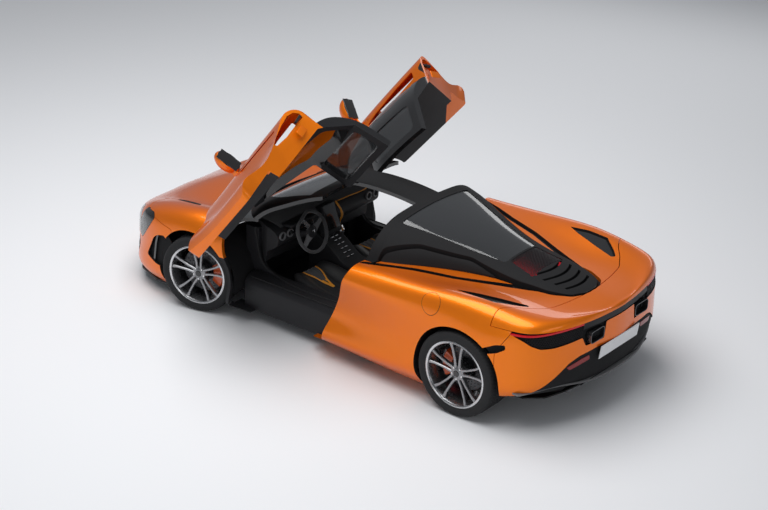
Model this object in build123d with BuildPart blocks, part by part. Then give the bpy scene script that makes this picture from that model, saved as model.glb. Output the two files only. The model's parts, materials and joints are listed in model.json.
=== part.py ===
"""A two-seat mid-engined supercar: body panels, cabin, glass, doors that swing up and forward, and running gear.

Millimetres. +X is forward, +Y is the driver's left, +Z is up. The origin is on the ground, midway along the car.
The doors stand open and the front wheels are steered a little to the left.
"""

import os

from build123d import *

os.makedirs("parts", exist_ok=True)

# ---------------------------------------------------------------- driving dimensions
CAR_LENGTH = 4540.0
FRONT_OVERHANG = 1045.0
WHEELBASE = 2670.0
FRONT_X = CAR_LENGTH / 2 - FRONT_OVERHANG
REAR_X = FRONT_X - WHEELBASE
NOSE_X = CAR_LENGTH / 2
TAIL_X = -CAR_LENGTH / 2

# Wheels: radius of the tyre, its width, radius of the rim where the tyre sits, distance of the wheel's centre
# from the car's centre line, and radius of the disc.
FRONT_WHEEL = dict(tyre_r=327.0, width=245.0, seat_r=241.0, y=837.0, disc_r=185.0)
REAR_WHEEL = dict(tyre_r=345.0, width=305.0, seat_r=254.0, y=812.0, disc_r=178.0)
LIP = 13.0
AXLE_R = 24.0
HUB_R = 70.0
DISC_THICKNESS = 28.0
KINGPIN_Y = 762.0
STEER_DEG = 14.0
STEERING_RATIO = 15.0

FRONT_ARCH_R = 372.0
REAR_ARCH_R = 384.0
STEERED_WELL_R = 400.0
WELL_INNER_Y = 515.0
ARCH_LIP_Y = 900.0

SKIN = 42.0
PANEL_GAP = 5.0
PIN_CLEARANCE = 0.06
GLASS = 8.0
FLOOR_Z = 108.0
FLOOR_THICKNESS = 27.0
SILL_OUTER_Y = 790.0
SILL_TOP_Z = 395.0
FRAME_HALF_WIDTH = 450.0
BULKHEAD_X = -480.0
# The towing eye screws into the front crossmember through a hole in the bumper.
TOWING_Y = 330.0
TOWING_Z = 225.0
TOWING_SOCKET_R = 9.0
TOWING_HOLE_R = 22.0
FAR = 3000.0

# The doors turn about a slanting axis, from a pin by the foot of the windscreen to a pin at its head.
HINGE_LOW = Vector(981, 686, 753)
HINGE_HIGH = Vector(207, 153, 1164)
DOOR_OPEN_DEG = 79.4
HINGE_PIN_R = 9.0
SPINE_HALF_WIDTH = 145.0

# ---------------------------------------------------------------- sections of the body
# Each row: x, then (y, z) of the underside's edge, the rocker, the waist, the shoulder and the deck's edge, and
# the height of the deck on the centre line.
BODY_ROWS = [
    (NOSE_X, (200, 190), (260, 240), (250, 330), (240, 400), (160, 440), 450),
    (2200, (480, 125), (560, 200), (560, 340), (540, 470), (380, 530), 550),
    (2100, (640, 112), (720, 200), (715, 360), (690, 520), (480, 590), 605),
    (1950, (790, 108), (860, 200), (845, 380), (820, 560), (560, 660), 665),
    (1700, (880, 108), (930, 220), (935, 420), (925, 620), (620, 755), 745),
    (FRONT_X, (900, 108), (950, 200), (962, 420), (955, 660), (690, 812), 800),
    (860, (850, 108), (920, 210), (925, 430), (915, 660), (720, 835), 850),
    (500, (820, 108), (905, 210), (860, 400), (905, 700), (760, 850), 855),
    (0, (820, 108), (910, 210), (840, 400), (920, 740), (780, 860), 862),
    (-380, (840, 108), (925, 215), (880, 420), (940, 770), (780, 880), 882),
    (-800, (870, 108), (945, 220), (930, 430), (955, 740), (800, 905), 895),
    (REAR_X, (885, 120), (955, 250), (963, 460), (955, 740), (800, 935), 895),
    (-1750, (850, 160), (930, 300), (940, 480), (930, 760), (830, 914), 885),
    (-1950, (780, 220), (880, 330), (890, 520), (872, 770), (780, 896), 876),
    (-2120, (640, 300), (750, 380), (760, 560), (740, 790), (640, 888), 868),
    (TAIL_X, (330, 330), (400, 400), (420, 600), (420, 780), (380, 855), 858),
]

# Each row: x, then (y, z) of the foot of the cabin's side, its edge with the roof, and the height on the centre.
CABIN_ROWS = [
    (1065, (100, 838), (60, 846), 852),
    (900, (600, 842), (430, 900), 922),
    (700, (715, 850), (520, 985), 1010),
    (400, (745, 856), (520, 1100), 1124),
    (200, (750, 858), (500, 1148), 1170),
    (-100, (745, 866), (480, 1166), 1196),
    (-400, (720, 878), (500, 1128), 1180),
    (-800, (520, 890), (380, 1080), 1112),
    (-1200, (370, 895), (275, 990), 1020),
    (-1600, (295, 890), (175, 920), 942),
    (-1985, (150, 866), (60, 872), 875),
]
CABIN_ROOT_Z = 700.0

# Side view (x, z) of a door's lower edges, nominal at the outer skin.
DOOR_SIDE = [(905, 1010), (905, 800), (880, 560), (705, 130), (-100, 130), (-130, 245), (-400, 880), (-430, 1250),
             (300, 1250)]
# The same door at its inner face, where its rear lower corner stands further forward so that it can swing out.
DOOR_SIDE_INNER = [(905, 1010), (905, 800), (880, 560), (705, 130), (-30, 130), (-62, 245), (-400, 880),
                   (-430, 1250), (300, 1250)]
# Plan (x, y) of what lies outboard of the windscreen pillar, the header and the roof's spine.
DOOR_PLAN = [(915, 1200), (915, 735), (850, 655), (560, 590), (230, 485), (230, SPINE_HALF_WIDTH),
             (-440, SPINE_HALF_WIDTH), (-440, 1200)]

# Plans (x, y) of the left edges of the black deck over the engine, the rear wing and the bonnet.
DECK_EDGE = [(BULKHEAD_X, 735), (-500, 640), (-731, 475), (-1108, 320), (-1541, 290), (-1806, 265), (-1988, 120)]
WING_HALF_WIDTH = 800.0
WING_EDGE = [(-1668, WING_HALF_WIDTH), (-1672, 720), (-1899, 526), (-1955, 300), (-1988, 120)]
WING_CORNER_GAP = 22.0
WING_BOTTOM_Z = 828.0
BONNET_REAR_X = 1085.0
BONNET_FRONT_X = 1925.0
BONNET_EDGE = [(BONNET_REAR_X, 560), (1300, 600), (1700, 600), (BONNET_FRONT_X, 545)]
BONNET_REAR_GAP = 18.0

# Front views (y, z) of a headlamp and of a side intake in the front bumper.
HEADLAMP = [(640, 600), (700, 640), (800, 615), (850, 520), (840, 425), (790, 440), (745, 520), (660, 570)]
INTAKE = [(430, 175), (800, 175), (835, 330), (800, 420), (640, 400), (450, 300)]

# Side views (x, z) of the door's window and of its sill cut.
WINDOW = [(790, 878), (560, 940), (230, 1105), (-100, 1126), (-350, 1085), (-335, 902), (0, 888)]
ROOF_PANE = [(180, 200), (180, 440), (-350, 430), (-350, 200)]


# ---------------------------------------------------------------- helpers
def whole(half):
    """Both halves of an outline, from the points of the left half that run from the bottom to the top."""
    return list(half) + [(-y, z) for y, z in reversed(half) if y > 0]


def both_sides(edge):
    """A closed plan outline from the points (x, y) of its left edge."""
    return list(edge) + [(x, -y) for x, y in reversed(edge)]


def lofted(stations):
    """A solid through sections (x, outline in y and z), joined by straight lines."""
    with BuildPart() as solid:
        for x, points in stations:
            with BuildSketch(Plane(origin=(x, 0, 0), x_dir=(0, 1, 0), z_dir=(1, 0, 0))):
                Polygon(*points, align=None)
        loft(ruled=True)
    return solid.part


def across(points, y_from, y_to):
    """A prism with its outline in the side view (x, z)."""
    with BuildPart() as prism:
        with BuildSketch(Plane(origin=(0, y_from, 0), x_dir=(1, 0, 0), z_dir=(0, -1, 0))):
            Polygon(*points, align=None)
        extrude(amount=y_from - y_to)
    return prism.part


def upright(points, z_from, z_to):
    """A prism with its outline in the plan (x, y)."""
    with BuildPart() as prism:
        with BuildSketch(Plane.XY.offset(z_from)):
            Polygon(*points, align=None)
        extrude(amount=z_to - z_from)
    return prism.part


def lengthways(points, x_from, x_to):
    """A prism with its outline in the front view (y, z)."""
    with BuildPart() as prism:
        with BuildSketch(Plane(origin=(x_from, 0, 0), x_dir=(0, 1, 0), z_dir=(1, 0, 0))):
            Polygon(*points, align=None)
        extrude(amount=x_to - x_from)
    return prism.part


def block(x_from, x_to, y_from, y_to, z_from, z_to):
    return upright([(x_from, y_from), (x_to, y_from), (x_to, y_to), (x_from, y_to)], z_from, z_to)


def rod(start, end, radius):
    start, end = Vector(*start), Vector(*end)
    with BuildPart() as bar:
        with BuildSketch(Plane(origin=start, z_dir=end - start)):
            Circle(radius)
        extrude(amount=(end - start).length)
    return bar.part


def body_half(row, inset):
    x, bottom, rocker, waist, shoulder, deck, crown = row
    points = [(bottom[0] - inset, bottom[1] + inset), (rocker[0] - inset, rocker[1] + inset / 2)]
    points += [(waist[0] - inset, waist[1]), (shoulder[0] - inset, shoulder[1] - inset / 2)]
    return points + [(deck[0] - inset / 2, deck[1] - inset), (0, crown - inset)]


def cabin_half(row, inset):
    x, foot, edge, crown = row
    lean = min(inset, foot[0] - 20, edge[0] - 10)
    points = [(foot[0] - lean, CABIN_ROOT_Z), (foot[0] - lean, foot[1] - inset / 3)]
    return points + [(edge[0] - lean * 0.7, edge[1] - inset * 0.8), (0, crown - inset)]


def envelope(inset):
    """The car's outer form, or the same form set in by a wall's thickness."""
    ends = {NOSE_X: NOSE_X - inset, TAIL_X: TAIL_X + inset, CABIN_ROWS[0][0]: CABIN_ROWS[0][0] - inset}
    with BuildPart() as form:
        add(lofted([(ends.get(row[0], row[0]), whole(body_half(row, inset))) for row in BODY_ROWS]))
        add(lofted([(ends.get(row[0], row[0]), whole(cabin_half(row, inset))) for row in CABIN_ROWS]))
    return form.part


def write(piece, label):
    piece.label = label
    export_step(piece, f"parts/{label}.step")


# ---------------------------------------------------------------- spaces that the panels share
outer = envelope(0)
inner = envelope(SKIN)
skin = outer - inner

with BuildPart() as front_wells:
    for side in (1, -1):
        wheel_face = Plane(origin=(FRONT_X, 0, FRONT_WHEEL["tyre_r"]), x_dir=(1, 0, 0), z_dir=(0, side, 0))
        with BuildSketch(wheel_face.offset(WELL_INNER_Y)):
            Circle(STEERED_WELL_R)
        extrude(amount=ARCH_LIP_Y - WELL_INNER_Y)
        with BuildSketch(wheel_face.offset(ARCH_LIP_Y)):
            Circle(FRONT_ARCH_R)
        extrude(amount=FAR)

with BuildPart() as rear_wells:
    for side in (1, -1):
        wheel_face = Plane(origin=(REAR_X, 0, REAR_WHEEL["tyre_r"]), x_dir=(1, 0, 0), z_dir=(0, side, 0))
        with BuildSketch(wheel_face.offset(WELL_INNER_Y)):
            Circle(REAR_ARCH_R)
        extrude(amount=FAR)


def door_zone(margin):
    """What a left door takes of the outer form, less a margin all round."""
    with BuildPart() as zone:
        for y, points in ((1200, DOOR_SIDE), (905, DOOR_SIDE), (700, DOOR_SIDE_INNER), (100, DOOR_SIDE_INNER)):
            with BuildSketch(Plane(origin=(0, y, 0), x_dir=(1, 0, 0), z_dir=(0, -1, 0))):
                Polygon(*points, align=None)
                if margin:
                    offset(amount=-margin, kind=Kind.INTERSECTION, mode=Mode.REPLACE)
        loft(ruled=True)
        with BuildPart(mode=Mode.INTERSECT):
            with BuildSketch():
                Polygon(*DOOR_PLAN, align=None)
                if margin:
                    offset(amount=-margin, kind=Kind.INTERSECTION, mode=Mode.REPLACE)
            extrude(amount=FAR)
    return zone.part


left_door_space = door_zone(0)
with BuildPart() as door_spaces:
    add(left_door_space)
    mirror(about=Plane.XZ)

# What lies inside the closed doors: the sills below and the seats above.
interior = lofted([
    (x, whole([(SILL_OUTER_Y + PANEL_GAP, 60), (SILL_OUTER_Y + PANEL_GAP, SILL_TOP_Z + PANEL_GAP),
               (705, SILL_TOP_Z + 25), (waist - SKIN, 850), (edge - SKIN, roof - SKIN), (0, crown - SKIN)]))
    for x, waist, edge, roof, crown in (
        (960, 690, 430, 905, 925), (700, 715, 520, 985, 1010), (400, 745, 520, 1100, 1124),
        (200, 750, 500, 1148, 1170), (-100, 745, 480, 1166, 1196), (-400, 720, 500, 1128, 1180),
        (-440, 700, 490, 1120, 1172))
])


def panel_space(edge, z_from, z_to, margin=0.0):
    with BuildPart() as space:
        with BuildSketch(Plane.XY.offset(z_from)):
            Polygon(*both_sides(edge), align=None)
            if margin:
                offset(amount=-margin, kind=Kind.INTERSECTION, mode=Mode.REPLACE)
        extrude(amount=z_to - z_from)
    return space.part


wing_edge = [(TAIL_X - 100, WING_HALF_WIDTH)] + WING_EDGE
bonnet_space = panel_space(BONNET_EDGE, 300, 1000)
wing_space = panel_space(wing_edge, WING_BOTTOM_Z, 1100)
deck_space = panel_space(DECK_EDGE, 700, 1300)
roof_space = block(BULKHEAD_X, BONNET_REAR_X, -735, 735, 780, 1300)

# Side views of what the front bumper takes ahead of the wheel, and the rear bumper behind it.
front_bumper_space = across([(1454, 0), (1454, 648), (1800, 690), (BONNET_FRONT_X, 690), (BONNET_FRONT_X, 1000),
                             (2600, 1000), (2600, 0)], -FAR, FAR)
rear_bumper_space = across([(-1780, 0), (-1780, 640), (-1880, 800), (-1884, WING_BOTTOM_Z),
                            (-2600, WING_BOTTOM_Z), (-2600, 0)], -FAR, FAR)
with BuildPart() as headlamp_spaces:
    add(lengthways(HEADLAMP, 1650, 2300))
    mirror(about=Plane.XZ)


def surface(x, y):
    """Height of the cabin's top face at (x, y), between its two edges."""
    for (xa, foot_a, edge_a, crown_a), (xb, foot_b, edge_b, crown_b) in zip(CABIN_ROWS, CABIN_ROWS[1:]):
        if xb <= x <= xa:
            part = (xa - x) / (xa - xb)
            edge_y = edge_a[0] + part * (edge_b[0] - edge_a[0])
            edge_z = edge_a[1] + part * (edge_b[1] - edge_a[1])
            crown = crown_a + part * (crown_b - crown_a)
            return crown + (edge_z - crown) * abs(y) / edge_y
    raise ValueError(x)


def glass_strip(stations):
    """A pane that lies in the cabin's top face, through stations (x, half width)."""
    sections = []
    for x, y in stations:
        edge_z, crown_z = surface(x, y), surface(x, 0)
        sections.append((x, [(-y, edge_z), (0, crown_z), (y, edge_z),
                             (y, edge_z - GLASS), (0, crown_z - GLASS), (-y, edge_z - GLASS)]))
    return lofted(sections)


def plan_of(stations):
    return upright([(x, y) for x, y in stations] + [(x, -y) for x, y in reversed(stations)], 700, 1300)


# ---------------------------------------------------------------- hinge lines
hinge_line = HINGE_HIGH - HINGE_LOW
hinge_dir = hinge_line.normalized()
hinge_axis = Axis(HINGE_LOW, hinge_line)
upper_hinge = HINGE_LOW + hinge_line * 0.9
LUG_R = 24.0
UPPER_LUG_R = 15.0
UPPER_PIN_R = 6.0
LUG_LENGTH = 40.0
WING_AXIS = (-1690.0, 908.0)
BONNET_AXIS = (1093.0, 812.0)
BONNET_HINGE_Y = 485.0
SMALL_PIN_R = 4.0
SMALL_LUG_R = 7.5

# ---------------------------------------------------------------- floor, sills, bulkheads and frames
BULKHEAD_THICKNESS = 40.0
CABIN_FRONT_X = 1040.0
SILL_INNER_Y = 610.0
POST_Y = (500.0, 638.0)
FRONT_RAIL_Y = (385.0, FRAME_HALF_WIDTH)
REAR_RAIL_Y = (300.0, 380.0)
wall_zone = block(BULKHEAD_X, BULKHEAD_X + BULKHEAD_THICKNESS, -FAR, FAR, FLOOR_Z, 1300)
scuttle_zone = block(CABIN_FRONT_X, CABIN_FRONT_X + 35, -FRAME_HALF_WIDTH, FRAME_HALF_WIDTH, FLOOR_Z, 1300)
with BuildPart() as bulkheads:
    add(inner)
    add(wall_zone + scuttle_zone, mode=Mode.INTERSECT)

with BuildPart() as floor:
    add(block(BULKHEAD_X, CABIN_FRONT_X + 35, -SILL_INNER_Y, SILL_INNER_Y, FLOOR_Z, FLOOR_Z + FLOOR_THICKNESS))
    add(bulkheads.part, mode=Mode.SUBTRACT)
    add(front_wells.part, mode=Mode.SUBTRACT)

with BuildPart() as sills:
    for side in (1, -1):
        low, high = sorted((side * SILL_INNER_Y, side * SILL_OUTER_Y))
        add(block(BULKHEAD_X, 800, low, high, FLOOR_Z, SILL_TOP_Z))
        low, high = sorted((side * POST_Y[0], side * POST_Y[1]))
        add(block(780, 905, low, high, FLOOR_Z, 765))
    for piece in (bulkheads.part, floor.part, front_wells.part):
        add(piece, mode=Mode.SUBTRACT)

with BuildPart() as front_rails:
    for side in (1, -1):
        low, high = sorted((side * FRONT_RAIL_Y[0], side * FRONT_RAIL_Y[1]))
        add(block(CABIN_FRONT_X, 2000, low, high, 150, 300))
        add(block(CABIN_FRONT_X, FRONT_X + 200, low, high, 150, 520))
    add(bulkheads.part, mode=Mode.SUBTRACT)
    add(floor.part, mode=Mode.SUBTRACT)

with BuildPart() as front_crossmember:
    add(block(2000, 2050, -FRAME_HALF_WIDTH, FRAME_HALF_WIDTH, 150, 300))
    add(rod((1950, TOWING_Y, TOWING_Z), (2100, TOWING_Y, TOWING_Z), TOWING_SOCKET_R), mode=Mode.SUBTRACT)

with BuildPart() as rear_frame:
    for side in (1, -1):
        low, high = sorted((side * REAR_RAIL_Y[0], side * REAR_RAIL_Y[1]))
        add(block(-2080, BULKHEAD_X, low, high, 180, 290))
        add(block(REAR_X - 200, REAR_X + 200, low, high, 180, 540))
    add(block(-2080, -2040, -REAR_RAIL_Y[1], REAR_RAIL_Y[1], 180, 290))

structure = bulkheads.part + floor.part + sills.part + front_rails.part + front_crossmember.part + rear_frame.part
for piece, name in ((bulkheads, "bulkheads"), (floor, "floor"), (sills, "sills"), (front_rails, "front_rails"), (front_crossmember, "front_crossmember"),
                    (rear_frame, "rear_frame")):
    write(piece.part, name)

# ---------------------------------------------------------------- hinge pins
low_pin = rod(HINGE_LOW - hinge_dir * 30, HINGE_LOW + hinge_dir * 205, HINGE_PIN_R)
high_pin = rod(upper_hinge - hinge_dir * 60, upper_hinge + hinge_dir * 60, UPPER_PIN_R)
low_pocket = block(885, 1015, 655, 780, 700, 900)
high_pocket = block(226, 318, 160, 290, 1040, 1250)
swing_room = block(848, 900, 645, 780, 700, 900) + block(220, 318, 160, 302, 1040, 1250) + block(885, 915, 770, 845, 722, 790)
swing_room += block(380, 412, 528, 548, 1068, 1092)
with BuildPart() as hinge_room:
    add(low_pocket)
    add(high_pocket)
    add(swing_room)
    mirror(about=Plane.XZ)
with BuildPart() as hinge_pins:
    add(low_pin)
    add(high_pin)
    add(rod((WING_AXIS[0], WING_HALF_WIDTH - 35, WING_AXIS[1]), (WING_AXIS[0], WING_HALF_WIDTH + 18, WING_AXIS[1]),
            SMALL_PIN_R))
    add(rod((BONNET_AXIS[0], BONNET_HINGE_Y - 30, BONNET_AXIS[1]),
            (BONNET_AXIS[0], BONNET_HINGE_Y + 30, BONNET_AXIS[1]), SMALL_PIN_R))
    mirror(about=Plane.XZ)
write(hinge_pins.part, "hinge_pins")

# ---------------------------------------------------------------- glass over the cabin
SCREEN = [(1035, 150), (900, 385), (700, 478), (400, 480), (368, 480)]
REAR_SCREEN = [(BULKHEAD_X, 438), (-800, 345), (-1200, 245), (-1330, 215)]
write(glass_strip(SCREEN), "windscreen")
write(glass_strip(REAR_SCREEN), "rear_screen")

# ---------------------------------------------------------------- body panels
with BuildPart() as roof_frame:
    add(skin)
    add(roof_space, mode=Mode.INTERSECT)
    add(upright([(BULKHEAD_X, 735), (915, 735), (BONNET_REAR_X, 560), (BONNET_REAR_X, -560), (915, -735),
                 (BULKHEAD_X, -735)], 0, 1400), mode=Mode.INTERSECT)
    add(door_spaces.part, mode=Mode.SUBTRACT)
    add(plan_of(SCREEN), mode=Mode.SUBTRACT)
    add(hinge_room.part, mode=Mode.SUBTRACT)
    for side in (1, -1):
        for offset_y in (-20, 20):
            y = side * BONNET_HINGE_Y + offset_y
            add(block(BONNET_REAR_X - 20, BONNET_AXIS[0] + 5, y - 8, y + 8, BONNET_AXIS[1] - 7, BONNET_AXIS[1] + 7))
    add(hinge_pins.part, mode=Mode.SUBTRACT)

FENDER_PLAN = [(690, 1200), (690, 735), (915, 735), (BONNET_REAR_X, 560), (BONNET_FRONT_X, 545),
               (BONNET_FRONT_X, 1200)]
with BuildPart() as fenders:
    add(skin)
    with BuildPart(mode=Mode.INTERSECT):
        add(upright(FENDER_PLAN, FLOOR_Z, 1000))
        mirror(about=Plane.XZ)
    for space in (door_spaces.part, bonnet_space, front_bumper_space, headlamp_spaces.part, hinge_room.part,
                  front_wells.part, structure):
        add(space, mode=Mode.SUBTRACT)

with BuildPart() as bonnet:
    add(skin)
    add(panel_space(BONNET_EDGE, 350, 1000, PANEL_GAP), mode=Mode.INTERSECT)
    add(block(0, BONNET_REAR_X + BONNET_REAR_GAP, -FAR, FAR, 0, FAR), mode=Mode.SUBTRACT)
    for side in (1, -1):
        y = side * BONNET_HINGE_Y
        add(rod((BONNET_AXIS[0], y - 10, BONNET_AXIS[1]), (BONNET_AXIS[0], y + 10, BONNET_AXIS[1]), SMALL_LUG_R))
        add(block(BONNET_AXIS[0], BONNET_REAR_X + BONNET_REAR_GAP + 5, y - 10, y + 10, BONNET_AXIS[1] - SMALL_LUG_R,
                  BONNET_AXIS[1]))
    add(rod((BONNET_AXIS[0], -FAR, BONNET_AXIS[1]), (BONNET_AXIS[0], FAR, BONNET_AXIS[1]),
            SMALL_PIN_R + PIN_CLEARANCE), mode=Mode.SUBTRACT)

with BuildPart() as front_bumper:
    add(skin)
    add(front_bumper_space, mode=Mode.INTERSECT)
    with BuildPart(mode=Mode.PRIVATE) as intakes:
        add(lengthways(INTAKE, 1650, 2400))
        mirror(about=Plane.XZ)
        add(rod((2040, TOWING_Y, TOWING_Z), (2400, TOWING_Y, TOWING_Z), TOWING_HOLE_R))
    for space in (bonnet_space, headlamp_spaces.part, front_wells.part, structure, intakes.part):
        add(space, mode=Mode.SUBTRACT)

with BuildPart() as quarter_panels:
    add(skin)
    with BuildPart(mode=Mode.INTERSECT):
        add(block(-2300, 20, 100, 1200, FLOOR_Z, 1200))
        mirror(about=Plane.XZ)
    for space in (door_spaces.part, roof_space, deck_space, wing_space, rear_bumper_space, rear_wells.part,
                  structure, block(-2300, 20, -600, 600, 0, 400), hinge_pins.part):
        add(space, mode=Mode.SUBTRACT)

with BuildPart() as engine_cover:
    add(skin)
    add(deck_space, mode=Mode.INTERSECT)
    add(plan_of(REAR_SCREEN), mode=Mode.SUBTRACT)
    add(wing_space, mode=Mode.SUBTRACT)

with BuildPart() as rear_wing:
    add(skin)
    add(panel_space(wing_edge, WING_BOTTOM_Z + PANEL_GAP, 1100, PANEL_GAP), mode=Mode.INTERSECT)
    add(block(WING_EDGE[0][0] - WING_CORNER_GAP, 0, -FAR, FAR, 0, FAR), mode=Mode.SUBTRACT)
    add(rod((WING_AXIS[0], WING_HALF_WIDTH - 40, WING_AXIS[1]), (WING_AXIS[0], WING_HALF_WIDTH, WING_AXIS[1]),
            SMALL_PIN_R + PIN_CLEARANCE), mode=Mode.SUBTRACT)
    add(rod((WING_AXIS[0], 40 - WING_HALF_WIDTH, WING_AXIS[1]), (WING_AXIS[0], -WING_HALF_WIDTH, WING_AXIS[1]),
            SMALL_PIN_R + PIN_CLEARANCE), mode=Mode.SUBTRACT)



# ---------------------------------------------------------------- doors, modelled shut and then swung open
near_skin = outer - envelope(GLASS)
window_space = across(WINDOW, 420, 1100)
roof_pane_space = upright(ROOF_PANE, 900, 1300)
with BuildPart() as shell:
    add(outer)
    add(door_zone(PANEL_GAP), mode=Mode.INTERSECT)
    add(interior, mode=Mode.SUBTRACT)
    # The edge by the header leans so that it swings clear of it.
    add(across([(222, 1250), (222, 1160), (176, 1040), (300, 1040), (300, 1250)], 100, 565), mode=Mode.SUBTRACT)
    add(window_space, mode=Mode.SUBTRACT)
    add(roof_pane_space, mode=Mode.SUBTRACT)
    add(low_pocket, mode=Mode.SUBTRACT)
    add(rod(HINGE_LOW - hinge_dir * LUG_LENGTH / 2, HINGE_LOW + hinge_dir * LUG_LENGTH / 2, LUG_R))
    add(rod(upper_hinge - hinge_dir * LUG_LENGTH / 2, upper_hinge + hinge_dir * LUG_LENGTH / 2, UPPER_LUG_R))
    add(rod(HINGE_LOW, (870, 745, 735), 13))
    add(rod(upper_hinge, (200, 215, 1128), 9))
    add(rod(HINGE_LOW - hinge_dir * 100, HINGE_LOW + hinge_dir * 100, HINGE_PIN_R + PIN_CLEARANCE),
        mode=Mode.SUBTRACT)
    add(rod(upper_hinge - hinge_dir * 100, upper_hinge + hinge_dir * 100, UPPER_PIN_R + PIN_CLEARANCE),
        mode=Mode.SUBTRACT)
with BuildPart() as panes:
    add(near_skin)
    with BuildPart(mode=Mode.INTERSECT):
        add(window_space)
        add(roof_pane_space)
    add(door_zone(PANEL_GAP), mode=Mode.INTERSECT)
MIRROR_HEAD = [(945, 540, 30, 840, 25), (965, 520, 60, 825, 100), (1050, 530, 45, 835, 85), (1079, 560, 15, 860, 40)]
with BuildPart() as mirror_unit:
    for y, x, depth, z, height in MIRROR_HEAD:
        with BuildSketch(Plane(origin=(0, y, 0), x_dir=(1, 0, 0), z_dir=(0, -1, 0))):
            with Locations((x + 60, z + 45)):
                RectangleRounded(depth * 2, height, min(depth, height / 2) * 0.6)
    loft(ruled=True)
    with BuildPart():
        add(block(575, 625, 700, 960, 852, 868))
    add(shell.part, mode=Mode.SUBTRACT)

for name, piece in (("shell", shell), ("glass", panes), ("mirror", mirror_unit)):
    opened = piece.part.rotate(hinge_axis, -DOOR_OPEN_DEG)
    write(opened, f"door_left_{name}")
    write(opened.mirror(Plane.XZ), f"door_right_{name}")

for piece, name in ((roof_frame, "roof_frame"), (fenders, "front_fenders"), (bonnet, "bonnet"),
                    (front_bumper, "front_bumper"), (quarter_panels, "quarter_panels"),
                    (engine_cover, "engine_cover"), (rear_wing, "rear_wing")):
    write(piece.part, name)

# ---------------------------------------------------------------- lamps, lip, diffuser, exhaust and plate
LAMP_SET_BACK = 14.0
lamp_layer = envelope(LAMP_SET_BACK) - envelope(SKIN + 20)
with BuildPart() as headlamps:
    add(lamp_layer)
    add(headlamp_spaces.part, mode=Mode.INTERSECT)
write(headlamps.part, "headlamps")

SPLITTER_EDGE = [(1560, 870), (1700, 885), (1950, 800), (2100, 660), (2190, 490)]
SPLITTER_TOP_Z = 108.0
write(upright(both_sides(SPLITTER_EDGE), SPLITTER_TOP_Z - 16, SPLITTER_TOP_Z), "splitter")

# Plan (x, y) of the tail lamps' inner and outer ends, and the height of their slot.
LAMP_Z = (806.0, 822.0)
with BuildPart() as tail_slots:
    for side in (1, -1):
        low, high = sorted((side * 425, side * 1000))
        add(block(-2320, -1890, low, high, *LAMP_Z))
with BuildPart() as tail_lamps:
    add(outer - envelope(20))
    add(tail_slots.part, mode=Mode.INTERSECT)
write(tail_lamps.part, "tail_lamps")

EXHAUST_Y = 295.0
EXHAUST_Z = 712.0
EXHAUST_HALF_WIDTH = 98.0
EXHAUST_HALF_HEIGHT = 56.0
EXHAUST_WALL = 6.0
rear_view = Plane(origin=(TAIL_X, 0, EXHAUST_Z), x_dir=(0, 1, 0), z_dir=(1, 0, 0))
with BuildPart() as exhaust_tips:
    with BuildSketch(rear_view.offset(-2)):
        with Locations((EXHAUST_Y, 0), (-EXHAUST_Y, 0)):
            SlotOverall(2 * EXHAUST_HALF_WIDTH, 2 * EXHAUST_HALF_HEIGHT)
            SlotOverall(2 * (EXHAUST_HALF_WIDTH - EXHAUST_WALL), 2 * (EXHAUST_HALF_HEIGHT - EXHAUST_WALL),
                        mode=Mode.SUBTRACT)
    extrude(amount=190)
write(exhaust_tips.part, "exhaust_tips")
with BuildPart() as exhaust_holes:
    with BuildSketch(rear_view.offset(-60)):
        with Locations((EXHAUST_Y, 0), (-EXHAUST_Y, 0)):
            SlotOverall(2 * EXHAUST_HALF_WIDTH, 2 * EXHAUST_HALF_HEIGHT)
    extrude(amount=300)

PLATE_WIDTH = 520.0
PLATE_HEIGHT = 110.0
PLATE_Z = 536.0
PLATE_TILT = 8.7
PLATE_THICKNESS = 4.0
BRACKET_DEPTH = 30.0
plate_plane = Plane(origin=(TAIL_X, 0, PLATE_Z), x_dir=(0, -1, 0), z_dir=Vector(-1, 0, 0).rotate(Axis.Y, PLATE_TILT))
with BuildPart() as number_plate:
    with BuildSketch(plate_plane.offset(-PLATE_THICKNESS)):
        RectangleRounded(PLATE_WIDTH, PLATE_HEIGHT, 8)
    extrude(amount=PLATE_THICKNESS)
write(number_plate.part, "number_plate")
with BuildPart() as plate_recess:
    with BuildSketch(plate_plane.offset(-PLATE_THICKNESS)):
        RectangleRounded(PLATE_WIDTH + 10, PLATE_HEIGHT + 10, 8)
    extrude(amount=PLATE_THICKNESS + 40)

# The diffuser is a floor that rises to the tail, with fins under it.
DIFFUSER_SIDE = [(-1850, 150), (-2255, 322), (-2262, 340), (-1850, 172)]
FIN_SIDE = [(-1850, 120), (-2200, 205), (-2255, 322), (-1850, 150)]
FIN_YS = (-560, -340, -115, 115, 340, 560)
with BuildPart() as diffuser:
    add(across(DIFFUSER_SIDE, -620, 620))
    for y in FIN_YS:
        add(across(FIN_SIDE, y - 5, y + 5))
diffuser_space = across([(-1850, 0), (-2400, 0), (-2400, 322), (-2255, 322), (-1850, 150)], -620, 620)
with BuildPart() as rear_bumper:
    add(skin)
    add(rear_bumper_space, mode=Mode.INTERSECT)
    for space in (wing_space, deck_space, rear_wells.part, structure, tail_slots.part, exhaust_holes.part,
                  plate_recess.part, diffuser_space):
        add(space, mode=Mode.SUBTRACT)
write(diffuser.part - rear_bumper.part - structure, "diffuser")
write(rear_bumper.part, "rear_bumper")

# ---------------------------------------------------------------- cabin
def bench(side_view, y_centre, width):
    return across(side_view, y_centre - width / 2, y_centre + width / 2)


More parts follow.
